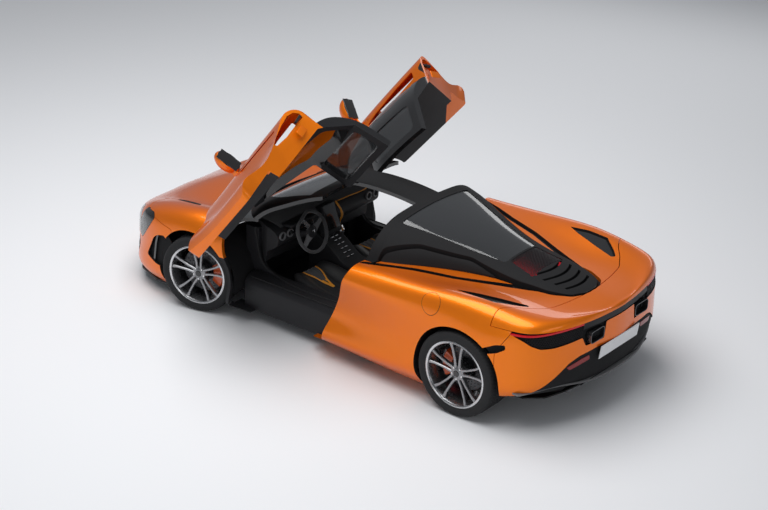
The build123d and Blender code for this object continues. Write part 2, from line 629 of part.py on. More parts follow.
SEAT_Y = 360.0
CABIN_FLOOR_Z = FLOOR_Z + FLOOR_THICKNESS
CUSHION = [(250, 135), (265, 330), (230, 345), (-150, 265), (-250, 300), (-398, 880), (-395, 905), (-428, 905),
           (-437, 880), (-330, 135)]
BOLSTER = [(230, 135), (240, 370), (120, 400), (-140, 370), (-220, 430), (-350, 800), (-425, 800), (-330, 300),
           (-300, 135)]
for side, name in ((1, "seat_left"), (-1, "seat_right")):
    with BuildPart() as seat:
        add(bench(CUSHION, side * SEAT_Y, 330))
        for edge in (1, -1):
            add(bench(BOLSTER, side * SEAT_Y + edge * 200, 72))
    write(seat.part, name)

DASH = [(905, 480), (905, 765), (860, 800), (640, 790), (560, 740), (570, 660), (680, 600), (700, 480)]
DASH_HALF_WIDTH = 640.0
CONSOLE = [(700, 135), (700, 600), (640, 600), (480, 520), (330, 400), (-250, 360), (-330, 430), (-400, 430),
           (-400, 135)]
CONSOLE_HALF_WIDTH = 120.0
STEERING_CENTRE = Vector(450, SEAT_Y, 735)
STEERING_TILT = 22.0
STEERING_R = 172.0
column_dir = Vector(1, 0, 0).rotate(Axis.Y, STEERING_TILT)
column_start = STEERING_CENTRE - column_dir * 8
with BuildPart() as dashboard:
    add(across(DASH, -DASH_HALF_WIDTH, DASH_HALF_WIDTH))
    add(structure, mode=Mode.SUBTRACT)
    add(roof_frame.part, mode=Mode.SUBTRACT)
    for side in (1, -1):
        low, high = sorted((side * 500, side * 700))
        add(block(780, 910, low, high, 400, 700), mode=Mode.SUBTRACT)
    add(rod(column_start, STEERING_CENTRE + column_dir * 260, 16))
write(dashboard.part, "dashboard")
write(across(CONSOLE, -CONSOLE_HALF_WIDTH, CONSOLE_HALF_WIDTH) - dashboard.part, "console")

wheel_up = Vector(0, 0, 1).rotate(Axis.Y, STEERING_TILT)
rim_plane = Plane(origin=STEERING_CENTRE, x_dir=(0, 1, 0), z_dir=-column_dir)
with BuildPart() as steering_wheel:
    with BuildSketch(Plane(origin=STEERING_CENTRE, x_dir=wheel_up, z_dir=wheel_up.cross(column_dir))):
        with Locations((STEERING_R, 0)):
            Ellipse(17, 14)
    revolve(axis=Axis(STEERING_CENTRE, column_dir))
    with BuildSketch(rim_plane.offset(-22)):
        Circle(62)
    extrude(amount=34)
    with BuildSketch(rim_plane.offset(-8)):
        with PolarLocations(0, 3, start_angle=90 + STEER_DEG * STEERING_RATIO):
            with Locations((STEERING_R / 2 + 10, 0)):
                Rectangle(STEERING_R - 30, 40)
    extrude(amount=12)
    with BuildSketch(rim_plane.offset(-60)):
        Circle(16 + PIN_CLEARANCE)
    extrude(amount=68 + PIN_CLEARANCE, mode=Mode.SUBTRACT)
write(steering_wheel.part, "steering_wheel")

# ---------------------------------------------------------------- engine and luggage bin
with BuildPart() as engine_block:
    add(block(-1120, BULKHEAD_X, -290, 290, 180, 660))
    add(block(-1560, -1120, -200, 200, 200, 520))
write(engine_block.part - structure, "engine_block")
with BuildPart() as luggage_bin:
    add(block(1180, 1700, -385, 385, 250, 660))
    add(block(1190, 1690, -375, 375, 260, 700), mode=Mode.SUBTRACT)
write(luggage_bin.part, "luggage_bin")

# ---------------------------------------------------------------- running gear
CALIPER_R = (118.0, 208.0)
CALIPER_OUTBOARD = 18.0
CALIPER_INBOARD = -62.0
DISC_FACE = -10.0
UPRIGHT_FACE = -52.0
UPRIGHT_BACK = -112.0
UPRIGHT_HALF_HEIGHT = 150.0
UPRIGHT_HALF_LENGTH = 42.0
KINGPIN_R = 11.0
KINGPIN_DEPTH = 45.0
ARM_SPREAD = 150.0
ARM_WIDTH = 34.0
ARM_THICKNESS = 24.0


def hub_plane(axle_x, wheel, side, steer):
    """The wheel's plane: x forward, z outboard, its origin at the wheel's centre."""
    kingpin = Vector(axle_x, side * KINGPIN_Y, wheel["tyre_r"])
    offset_y = Vector(0, side * (wheel["y"] - KINGPIN_Y), 0).rotate(Axis.Z, steer)
    return Plane(origin=kingpin + offset_y, x_dir=Vector(1, 0, 0).rotate(Axis.Z, steer),
                 z_dir=Vector(0, side, 0).rotate(Axis.Z, steer))


def ring(plane, outline):
    """A solid of revolution about the axle, from an outline of (radius, distance outboard)."""
    with BuildPart() as solid:
        with BuildSketch(Plane(origin=plane.origin, x_dir=plane.x_dir, z_dir=plane.x_dir.cross(plane.z_dir))):
            Polygon(*outline, align=None)
        revolve(axis=Axis(plane.origin, plane.z_dir))
    return solid.part


def tyre_outline(wheel):
    half, seat, tread = wheel["width"] / 2, wheel["seat_r"], wheel["tyre_r"]
    left = [(seat, half - 16), (seat + LIP, half - 16), (seat + LIP + 4, half - 10), (seat + 0.55 * (tread - seat), half), (tread - 12, half - 9),
            (tread, half - 32)]
    return left + [(r, -w) for r, w in reversed(left)]


def rim_outline(wheel):
    half, seat = wheel["width"] / 2 - 8, wheel["seat_r"]
    return [(seat, half - 8), (seat + LIP, half - 8), (seat + LIP, half), (seat - 6, half), (seat - 12, half - 20),
            (seat - 12, -half), (seat + LIP, -half), (seat + LIP, -half + 8), (seat, -half + 8)]


def build_wheel(tag, axle_x, wheel, side, steer):
    plane = hub_plane(axle_x, wheel, side, steer)
    half = wheel["width"] / 2 - 8
    write(ring(plane, tyre_outline(wheel)), f"tyre_{tag}")
    with BuildPart() as rim:
        add(ring(plane, rim_outline(wheel)))
        with BuildSketch(plane.offset(DISC_FACE)):
            Circle(HUB_R)
        extrude(amount=half - 30 - DISC_FACE)
        with BuildSketch(plane.offset(half - 52)):
            with PolarLocations(0, 5):
                for lean in (1, -1):
                    with Locations((0, 0)):
                        Polygon((HUB_R - 20, lean * 8), (HUB_R - 20, lean * 34), (wheel["seat_r"] - 20, lean * 84),
                                (wheel["seat_r"] - 20, lean * 58), align=None)
        extrude(amount=30)
        with BuildSketch(plane.offset(DISC_FACE)):
            Circle(AXLE_R + PIN_CLEARANCE)
        extrude(amount=40 - DISC_FACE, mode=Mode.SUBTRACT)
    write(rim.part, f"rim_{tag}")
    low = DISC_FACE - DISC_THICKNESS
    write(ring(plane, [(AXLE_R + 14, low), (wheel["disc_r"], low), (wheel["disc_r"], DISC_FACE),
                       (AXLE_R + 14, DISC_FACE)]), f"disc_{tag}")


def kingpin(side, axle_z, up, radius):
    """The pin that one end of a front upright turns on."""
    face = axle_z + up * UPRIGHT_HALF_HEIGHT
    low, high = sorted((face - up * KINGPIN_DEPTH, face + up * ARM_THICKNESS))
    return rod((FRONT_X, side * KINGPIN_Y, low), (FRONT_X, side * KINGPIN_Y, high), radius)


def build_upright(axle_x, wheel, side, steer, caliper_side):
    """The knuckle that carries a wheel on its stub axle, with the caliper over the disc."""
    plane = hub_plane(axle_x, wheel, side, steer)
    with BuildPart() as knuckle:
        with BuildSketch(plane.offset(UPRIGHT_BACK)):
            Rectangle(2 * UPRIGHT_HALF_LENGTH, 2 * UPRIGHT_HALF_HEIGHT)
        extrude(amount=UPRIGHT_FACE - UPRIGHT_BACK)
        with BuildSketch(plane.offset(UPRIGHT_FACE)):
            Circle(AXLE_R)
        extrude(amount=30 - UPRIGHT_FACE)
        with BuildSketch(plane.offset(CALIPER_INBOARD)):
            with BuildLine():
                for radius in CALIPER_R:
                    CenterArc((0, 0), radius, 180 * (caliper_side < 0) - 32, 64)
                ends = [[Vector(radius, 0).rotate(Axis.Z, 180 * (caliper_side < 0) + turn) for radius in CALIPER_R]
                        for turn in (-32, 32)]
                Line(*ends[0])
                Line(*ends[1])
            make_face()
        extrude(amount=CALIPER_OUTBOARD - CALIPER_INBOARD)
        with BuildSketch(plane.offset(UPRIGHT_BACK + 20)):
            with Locations((caliper_side * 85, 0)):
                Rectangle(110, 110)
        extrude(amount=CALIPER_INBOARD + 8 - UPRIGHT_BACK - 20)
        with BuildSketch(plane.offset(DISC_FACE - DISC_THICKNESS - PANEL_GAP)):
            Circle(wheel["disc_r"] + PANEL_GAP)
            Circle(AXLE_R + 1, mode=Mode.SUBTRACT)
        extrude(amount=DISC_THICKNESS + 2 * PANEL_GAP, mode=Mode.SUBTRACT)
        for up in (1, -1):
            add(kingpin(side, wheel["tyre_r"], up, KINGPIN_R + PIN_CLEARANCE), mode=Mode.SUBTRACT)
    return knuckle.part


for axle_x, wheel, ends, steer in ((FRONT_X, FRONT_WHEEL, "front", STEER_DEG), (REAR_X, REAR_WHEEL, "rear", 0)):
    for side, hand in ((1, "left"), (-1, "right")):
        build_wheel(f"{ends}_{hand}", axle_x, wheel, side, steer)

for side, hand in ((1, "left"), (-1, "right")):
    write(build_upright(FRONT_X, FRONT_WHEEL, side, STEER_DEG, -1), f"knuckle_{hand}")
with BuildPart() as rear_uprights:
    for side in (1, -1):
        add(build_upright(REAR_X, REAR_WHEEL, side, 0, 1))
write(rear_uprights.part, "rear_uprights")

with BuildPart() as wishbones:
    for axle_x, wheel, inner_y in ((FRONT_X, FRONT_WHEEL, FRAME_HALF_WIDTH), (REAR_X, REAR_WHEEL, 380.0)):
        upright_y = KINGPIN_Y if axle_x == FRONT_X else wheel["y"] + (UPRIGHT_BACK + UPRIGHT_FACE) / 2
        reach = upright_y + 22
        for z in (wheel["tyre_r"] - UPRIGHT_HALF_HEIGHT - ARM_THICKNESS, wheel["tyre_r"] + UPRIGHT_HALF_HEIGHT):
            for side in (1, -1):
                with BuildSketch(Plane.XY.offset(z)):
                    for lean in (1, -1):
                        Polygon((axle_x + lean * ARM_SPREAD, side * inner_y),
                                (axle_x + lean * (ARM_SPREAD + ARM_WIDTH), side * inner_y),
                                (axle_x + lean * ARM_WIDTH * 0.7, side * reach), (axle_x, side * reach),
                                (axle_x, side * (reach - 50)), align=None)
                extrude(amount=ARM_THICKNESS)
    for side in (1, -1):
        for up in (1, -1):
            add(kingpin(side, FRONT_WHEEL["tyre_r"], up, KINGPIN_R))
write(wishbones.part, "wishbones")
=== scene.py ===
# %% [markdown]
# # A mid-engined supercar with its doors up
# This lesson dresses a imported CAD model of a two-seat car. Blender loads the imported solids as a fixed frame, and
# every piece made here is put where those solids are, in metres: +X is forward, +Y is the driver's left, +Z is up.

# %% Load the frame
import bmesh
import bpy
import json
import math
import numpy as np
from mathutils.bvhtree import BVHTree
from mathutils import Matrix, Vector

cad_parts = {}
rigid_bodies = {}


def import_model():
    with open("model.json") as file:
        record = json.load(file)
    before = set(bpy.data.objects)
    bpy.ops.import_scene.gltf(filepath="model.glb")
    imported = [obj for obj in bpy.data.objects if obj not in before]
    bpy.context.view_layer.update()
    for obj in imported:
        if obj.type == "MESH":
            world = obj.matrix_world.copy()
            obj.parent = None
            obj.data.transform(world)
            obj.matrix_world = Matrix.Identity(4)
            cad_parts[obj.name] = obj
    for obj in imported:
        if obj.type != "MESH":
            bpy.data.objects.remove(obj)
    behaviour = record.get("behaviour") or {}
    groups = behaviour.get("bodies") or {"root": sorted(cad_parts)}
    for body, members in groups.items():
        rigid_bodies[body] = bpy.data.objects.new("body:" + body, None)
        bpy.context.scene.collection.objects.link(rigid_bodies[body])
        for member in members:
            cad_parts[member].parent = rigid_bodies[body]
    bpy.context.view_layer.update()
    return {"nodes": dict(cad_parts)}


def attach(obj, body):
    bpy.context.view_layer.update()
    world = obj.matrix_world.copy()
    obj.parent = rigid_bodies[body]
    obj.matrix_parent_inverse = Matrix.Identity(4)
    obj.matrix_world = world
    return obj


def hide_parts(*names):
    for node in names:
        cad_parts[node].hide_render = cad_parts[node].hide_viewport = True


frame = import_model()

# %% [markdown]
# ## Camera, floor and light
# The camera stands behind the car's left rear corner, well above the roof, and uses a long lens. The floor is a
# wide pale sheet, and the light is one large overhead softbox with weaker fills, as in a car studio.

# %% Camera
MM = 0.001
CAMERA_AT = Vector((-9.3236, 11.8609, 7.6388))
CAMERA_FORWARD = Vector((0.55892, -0.71156, -0.42578)).normalized()
CAMERA_ROLL = math.radians(1.39)
CAMERA_LENS, SENSOR_WIDTH, CLIP_END = 96.62, 36.0, 200.0


def add_object(name, data):
    """A new object in the scene with this mesh, lamp or camera."""
    thing = bpy.data.objects.new(name, data)
    bpy.context.scene.collection.objects.link(thing)
    return thing


camera = add_object("camera", bpy.data.cameras.new("camera"))
camera.data.lens, camera.data.sensor_width, camera.data.clip_end = CAMERA_LENS, SENSOR_WIDTH, CLIP_END
right = CAMERA_FORWARD.cross(Vector((0, 0, 1))).normalized()
up = right.cross(CAMERA_FORWARD)
rolled_right = right * math.cos(CAMERA_ROLL) + up * math.sin(CAMERA_ROLL)
rolled_up = up * math.cos(CAMERA_ROLL) - right * math.sin(CAMERA_ROLL)
turn = Matrix((rolled_right, rolled_up, -CAMERA_FORWARD)).transposed().to_4x4()
camera.matrix_world = Matrix.Translation(CAMERA_AT) @ turn
bpy.context.scene.camera = camera
bpy.context.scene.view_settings.view_transform = "Standard"
print("camera at", tuple(round(v, 2) for v in CAMERA_AT))

# %% [markdown]
# ## Finishes
# The paint is a metallic base under a clear coat: flakes scatter the base layer and the coat keeps a sharp
# reflection. The other finishes are gloss and satin blacks, leather, rubber, machined metal and tinted glass. A
# pattern could come from a picture, but a noise on Object coordinates has no seams and no fixed resolution.

# %% Helpers for materials
def set_inputs(node, values):
    for name, value in values.items():
        node.inputs[name].default_value = value


def new_material(name, settings):
    """A material with its shader's own sockets set: the material, its node tree and the shader."""
    material = bpy.data.materials.new(name)
    material.use_nodes = True
    shader = material.node_tree.nodes["Principled BSDF"]
    set_inputs(shader, settings)
    return material, material.node_tree, shader


def pattern(tree, kind, settings):
    """A texture on Object coordinates."""
    texture = tree.nodes.new(kind)
    set_inputs(texture, settings)
    tree.links.new(tree.nodes.new("ShaderNodeTexCoord").outputs["Object"], texture.inputs["Vector"])
    return texture


def vary_roughness(tree, shader, value, low, high):
    spread = tree.nodes.new("ShaderNodeMapRange")
    set_inputs(spread, {"To Min": low, "To Max": high})
    tree.links.new(value, spread.inputs["Value"])
    tree.links.new(spread.outputs["Result"], shader.inputs["Roughness"])


def vary_colour(tree, shader, value, first, second):
    mix = tree.nodes.new("ShaderNodeMix")
    mix.data_type = "RGBA"
    set_inputs(mix, {"A": (*first, 1.0), "B": (*second, 1.0)})
    tree.links.new(value, mix.inputs["Factor"])
    tree.links.new(mix.outputs["Result"], shader.inputs["Base Color"])


def shade(name, colour, roughness, metallic=0.0, grain=0.0, grain_scale=60.0, bump=0.0, coat=0.0, specular=0.5,
          sheen=0.0):
    """A finish with a fine grain in its colour, its roughness and its height."""
    material, tree, shader = new_material(name, {
        "Metallic": metallic, "Coat Weight": coat, "Coat Roughness": 0.05, "Specular IOR Level": specular,
        "Sheen Weight": sheen})
    noise = pattern(tree, "ShaderNodeTexNoise", {"Scale": grain_scale, "Detail": 3.0}).outputs["Fac"]
    vary_roughness(tree, shader, noise, max(0.0, roughness - grain), min(1.0, roughness + grain))
    vary_colour(tree, shader, noise, colour, [min(1.0, c * 1.12 + 0.002) for c in colour])
    if bump:
        rise = tree.nodes.new("ShaderNodeBump")
        set_inputs(rise, {"Strength": bump, "Distance": 0.0006})
        tree.links.new(noise, rise.inputs["Height"])
        tree.links.new(rise.outputs["Normal"], shader.inputs["Normal"])
    return material


# %% [markdown]
# ## Paint, glass and lamps
# Car paint has three layers. Its flakes could be made one by one, but a fine cell pattern that changes the roughness
# gives the same glitter from here. The panes are thin, so a share of the light simply passes through them.

# %% Paint, glass and lamps
def flake_paint(name, base, deep):
    """Metal flakes under a clear coat, deeper in colour where the surface turns away."""
    material, tree, shader = new_material(name, {
        "Metallic": 0.60, "Specular IOR Level": 0.1, "Coat Weight": 0.8, "Coat IOR": 1.36, "Coat Roughness": 0.03})
    flakes = pattern(tree, "ShaderNodeTexVoronoi", {"Scale": 900.0})
    edge = tree.nodes.new("ShaderNodeLayerWeight")
    set_inputs(edge, {"Blend": 0.35})
    vary_colour(tree, shader, edge.outputs["Facing"], base, deep)
    vary_roughness(tree, shader, flakes.outputs["Distance"], 0.30, 0.46)
    return material


def glass(name, colour, see_through):
    """Tinted glass that lets a share of the light through."""
    material, tree, shader = new_material(name, {
        "Base Color": (*colour, 1.0), "Coat Weight": 1.0, "Coat Roughness": 0.02, "Alpha": 1.0 - see_through})
    noise = pattern(tree, "ShaderNodeTexNoise", {"Scale": 3.0})
    vary_roughness(tree, shader, noise.outputs["Fac"], 0.03, 0.06)
    return material


def glowing(name, colour, strength, base):
    """A lens that gives off a little light of its own. On the reflectors and the engine bay box, which are no lamps,
    this is a painted glow.
    """
    material, tree, shader = new_material(name, {
        "Emission Color": (*colour, 1.0), "Emission Strength": strength, "Roughness": 0.15})
    noise = pattern(tree, "ShaderNodeTexNoise", {"Scale": 90.0})
    vary_colour(tree, shader, noise.outputs["Fac"], base, colour)
    return material


# %% [markdown]
# ## The finishes
# Every finish is made once, under its own name, and is shared by all pieces that have it. A different colour for the
# whole car is then one changed line.

# %% The finishes
DULL = 0.22
PAINT = flake_paint("copper_orange_paint", (1.0, 0.232, 0.004), (0.70, 0.098, 0.002))
GLOSS_BLACK = shade("gloss_black", (0.012, 0.012, 0.013), 0.16, 0, 0.03, 8, coat=1.0, specular=DULL)
SATIN_BLACK = shade("satin_black", (0.018, 0.018, 0.020), 0.42, 0, 0.06, 40, 0.1, specular=DULL)
MATTE_BLACK = shade("matte_black", (0.010, 0.010, 0.011), 0.75, 0, 0.1, 90, 0.2, specular=DULL)
TRIM = shade("cabin_trim", (0.022, 0.022, 0.024), 0.55, 0, 0.06, 300, 0.35, specular=DULL)
SUEDE = shade("dash_suede", (0.055, 0.055, 0.058), 0.85, 0, 0.08, 500, 0.3, sheen=0.3)
LEATHER = shade("black_leather", (0.020, 0.020, 0.021), 0.50, 0, 0.08, 380, 0.6)
PIPING = shade("amber_leather", (0.80, 0.32, 0.03), 0.50, 0, 0.08, 300, 0.3)
RUBBER = shade("tyre_rubber", (0.020, 0.020, 0.021), 0.68, 0, 0.10, 120, 0.25, specular=DULL)
RIM_METAL = shade("dark_rim_metal", (0.27, 0.27, 0.28), 0.28, 0.9, 0.05, 30, coat=0.6)
BRIGHT_METAL = shade("machined_metal", (0.62, 0.62, 0.63), 0.22, 1.0, 0.06, 50)
DISC_METAL = shade("ground_disc", (0.11, 0.11, 0.115), 0.42, 1.0, 0.08, 80)
CALIPER = shade("orange_caliper", (0.72, 0.10, 0.015), 0.32, 0, 0.04, 40, coat=0.6)
CAST = shade("cast_metal", (0.20, 0.20, 0.21), 0.55, 0.8, 0.1, 70, 0.4)
DARK_CHROME = shade("dark_chrome", (0.10, 0.10, 0.105), 0.22, 0.9, 0.04, 40)
PLATE = shade("pale_plate", (0.80, 0.80, 0.81), 0.45, 0, 0.04, 20)
GREY_TRIM = shade("grey_trim", (0.16, 0.16, 0.165), 0.45, 0, 0.05, 60)
DARK_GLASS = glass("dark_glass", (0.040, 0.042, 0.045), 0.30)
LAMP_BOWL = glass("smoked_cover", (0.006, 0.006, 0.007), 0.30)
RED_GLOW = glowing("red_light", (0.62, 0.012, 0.02), 0.22, (0.25, 0.005, 0.008))
# Painted glow: the engine bay box is no lamp, but gives off red light of its own under the cover's mesh.
BAY_GLOW = glowing("engine_bay_painted_glow", (0.75, 0.02, 0.035), 0.45, (0.3, 0.01, 0.01))
# Painted glow: the reflectors are no lamps, but give off a faint red light of their own.
RED_DIM = glowing("red_reflector", (0.35, 0.012, 0.014), 0.03, (0.16, 0.006, 0.008))
PALE_LAMP = glowing("pale_lamp", (0.85, 0.88, 0.92), 0.25, (0.6, 0.62, 0.66))
print("materials:", len(bpy.data.materials))

# %% Floor, backdrop and softboxes
FLOOR_HALF = 60
floor_mesh = bpy.data.meshes.new("studio_floor")
floor_mesh.from_pydata([(x * FLOOR_HALF, y * FLOOR_HALF, 0) for x, y in ((-1, -1), (1, -1), (1, 1), (-1, 1))], [],
                       [(0, 1, 2, 3)])
floor_mesh.materials.append(new_material("studio_floor", {
    "Base Color": (0.84, 0.85, 0.87, 1.0), "Roughness": 0.9, "Specular IOR Level": 0.1})[0])
floor = add_object("studio_floor", floor_mesh)

world = bpy.data.worlds.new("studio")
bpy.context.scene.world = world
world.use_nodes = True
set_inputs(world.node_tree.nodes["Background"], {"Color": (0.78, 0.81, 0.86, 1.0), "Strength": 0.28})


def softbox(name, at, aim, size, power):
    light = bpy.data.lights.new(name, "AREA")
    light.shape = "RECTANGLE"
    light.size, light.size_y = size
    light.energy = power
    lamp = add_object(name, light)
    lamp.location = at
    lamp.rotation_euler = (Vector(aim) - Vector(at)).to_track_quat("-Z", "Y").to_euler()


softbox("overhead", (1.0, 1.5, 7.5), (0.3, 0.8, 0), (9.5, 6.0), 640)
softbox("left_fill", (-3.0, 8.0, 2.6), (0, 0, 0.5), (5.0, 1.6), 30)
softbox("rear_fill", (-8.5, 1.5, 2.6), (0, 0, 0.6), (3.5, 1.6), 26)
softbox("far_rim", (2.0, -8.5, 3.0), (0, 0, 0.6), (7.0, 1.6), 50)
print("stage ready")

# %% [markdown]
# ## The body's surface
# On the real car one continuous surface runs from nose to tail and is then split into panels. It could be drawn by
# hand, panel by panel, but then neighbours would not flow into each other. Here a few section tables are joined by
# smooth splines along the car, so every panel that is cut from the result keeps the same highlight.

# %% Splines and solids from tables
def spline(knots, values, at):
    """A smooth curve through the rows of values, as a natural cubic spline."""
    knots, values, at = np.asarray(knots, float), np.asarray(values, float), np.asarray(at, float)
    count = len(knots)
    steps = np.diff(knots)
    slopes = np.diff(values, axis=0) / steps[:, None]
    matrix, right_side = np.eye(count), np.zeros_like(values)
    for i in range(1, count - 1):
        matrix[i, i - 1:i + 2] = steps[i - 1], 2 * (steps[i - 1] + steps[i]), steps[i]
        right_side[i] = 3 * (slopes[i] - slopes[i - 1])
    bend = np.linalg.solve(matrix, right_side)
    i = np.clip(np.searchsorted(knots, at, side="right") - 1, 0, count - 2)
    t = (at - knots[i])[:, None]
    h = steps[i][:, None]
    first = slopes[i] - h * (2 * bend[i] + bend[i + 1]) / 3
    return values[i] + t * (first + t * (bend[i] + t * (bend[i + 1] - bend[i]) / (3 * h)))


def running(steps):
    """How far along a chain each of its points lies, from the lengths of its steps."""
    return np.concatenate([[0], np.cumsum(steps)])


def step_lengths(chain):
    return np.linalg.norm(np.diff(chain, axis=0), axis=1)


def stations(knots, counts):
    """Even stations between neighbouring knots, so many in each gap, and the last knot."""
    gaps = [np.linspace(a, b, n, endpoint=False) for a, b, n in zip(knots[:-1], knots[1:], counts)]
    return np.concatenate([*gaps, knots[-1:]])


# %% [markdown]
# ## Solids
# A solid is made from rings of points, joined like the ribs of a boat. Sculpting would give softer forms, but rings
# keep every measure in the script, and the closed solids that they give can be cut safely.

# %% Meshes from rings of points
def point_outwards(mesh):
    edit = bmesh.new()
    edit.from_mesh(mesh)
    bmesh.ops.recalc_face_normals(edit, faces=edit.faces)
    edit.to_mesh(mesh)
    edit.free()


def piece_from(name, vertices, faces, *materials):
    mesh = bpy.data.meshes.new(name)
    mesh.from_pydata([tuple(v) for v in vertices], [], faces)
    mesh.update()
    for material in materials:
        mesh.materials.append(material)
    point_outwards(mesh)
    return add_object(name, mesh)


def solid_of_rings(name, rings, *materials):
    """A closed solid through rings of equally many points, with flat ends."""
    rings = [list(points) for points in rings]
    count = len(rings[0])
    faces = [(a * count + i, a * count + (i + 1) % count, (a + 1) * count + (i + 1) % count, (a + 1) * count + i)
             for a in range(len(rings) - 1) for i in range(count)]
    faces += [tuple(reversed(range(count))), tuple(range((len(rings) - 1) * count, len(rings) * count))]
    return piece_from(name, [point for points in rings for point in points], faces, *materials)


def ring(outline, direction, at):
    """An outline of two coordinates as points in space, all at one x, y or z, from millimetres."""
    place = {"x": lambda u, v: (at, u, v), "y": lambda u, v: (u, at, v), "z": lambda u, v: (u, v, at)}[direction]
    return [Vector(place(u, v)) * MM for u, v in outline]


def prism(outline, direction, low, high, material=None, name="prism"):
    """A straight cutter: an outline run along x, y or z."""
    rings = [ring(outline, direction, at) for at in (low, high)]
    return solid_of_rings(name, rings, *([material] if material else []))


# %% [markdown]
# ## Cuts
# Panels and openings are cut from solids with other solids, as a saw would cut them. The faces of a cut take the
# cutter's finish, so the inside of an opening is black without further work.

# %% Booleans and copies
def drop(*things):
    for thing in things:
        mesh = thing.data
        bpy.data.objects.remove(thing)
        bpy.data.meshes.remove(mesh)


def evaluated_mesh(thing):
    return bpy.data.meshes.new_from_object(thing.evaluated_get(bpy.context.evaluated_depsgraph_get()))


def combine(thing, operation, *cutters, keep=()):
    """Cuts, keeps or adds the cutters' space. A cutter's own material stays on the faces that it leaves."""
    for cutter in cutters:
        modifier = thing.modifiers.new("combine", "BOOLEAN")
        modifier.operation = operation
        modifier.solver = "MANIFOLD"
        modifier.material_mode = "TRANSFER"
        modifier.object = cutter
    mesh, old = evaluated_mesh(thing), thing.data
    thing.modifiers.clear()
    thing.data = mesh
    mesh.name = thing.name
    bpy.data.meshes.remove(old)
    drop(*(cutter for cutter in cutters if cutter not in keep))
    return thing


def copy_of(thing, name):
    return add_object(name, thing.data.copy())


def mirrored(thing, name):
    """The same piece on the car's right side."""
    twin = copy_of(thing, name)
    twin.data.transform(Matrix.Diagonal((1, -1, 1, 1)))
    twin.data.flip_normals()
    return twin


def with_twin(piece):
    """A piece of the car's left side and its mirror image."""
    return [piece, mirrored(piece, piece.name + "_right")]


# %% [markdown]
# ## Outlines
# Each panel's edge is a short list of points in millimetres. The outline moved in or out by half a gap gives both
# sides of a shut line from one list.

# %% Outlines
def corners(outline):
    """Each corner of an outline with its two neighbours, as (before, corner, after)."""
    points = [Vector(p) for p in outline]
    return zip(points[-1:] + points[:-1], points, points[1:] + points[:1])


def round_corners(outline, radius, steps=4):
    """The outline with each corner replaced by a short arc-like curve."""
    smooth = []
    for before, corner, after in corners(outline):
        reach = min(radius, (before - corner).length * 0.45, (after - corner).length * 0.45)
        start = corner + (before - corner).normalized() * reach
        end = corner + (after - corner).normalized() * reach
        for k in range(steps + 1):
            t = k / steps
            smooth.append(start * (1 - t) ** 2 + corner * 2 * t * (1 - t) + end * t ** 2)
    return [tuple(p) for p in smooth]


def inset(outline, distance):
    """The outline moved inwards by a distance, or outwards by a negative one."""
    moved = []
    side = 1 if sum(a.x * b.y - b.x * a.y for _, a, b in corners(outline)) > 0 else -1
    for before, corner, after in corners(outline):
        first, second = (corner - before).normalized(), (after - corner).normalized()
        normal_a, normal_b = Vector((-first.y, first.x)) * side, Vector((-second.y, second.x)) * side
        middle = (normal_a + normal_b).normalized()
        moved.append(tuple(corner + middle * distance / max(0.35, middle.dot(normal_a))))
    return moved


def circle(centre, radius, count=96):
    return [(centre[0] + radius * math.cos(2 * math.pi * k / count),
             centre[1] + radius * math.sin(2 * math.pi * k / count)) for k in range(count)]


print("helpers ready")

# %% [markdown]
# ## Sections
# The body's form is a table of cross sections, from nose to tail. One curve runs through each row's points, softly, or
# with a crease at the shoulder where the metal is folded.

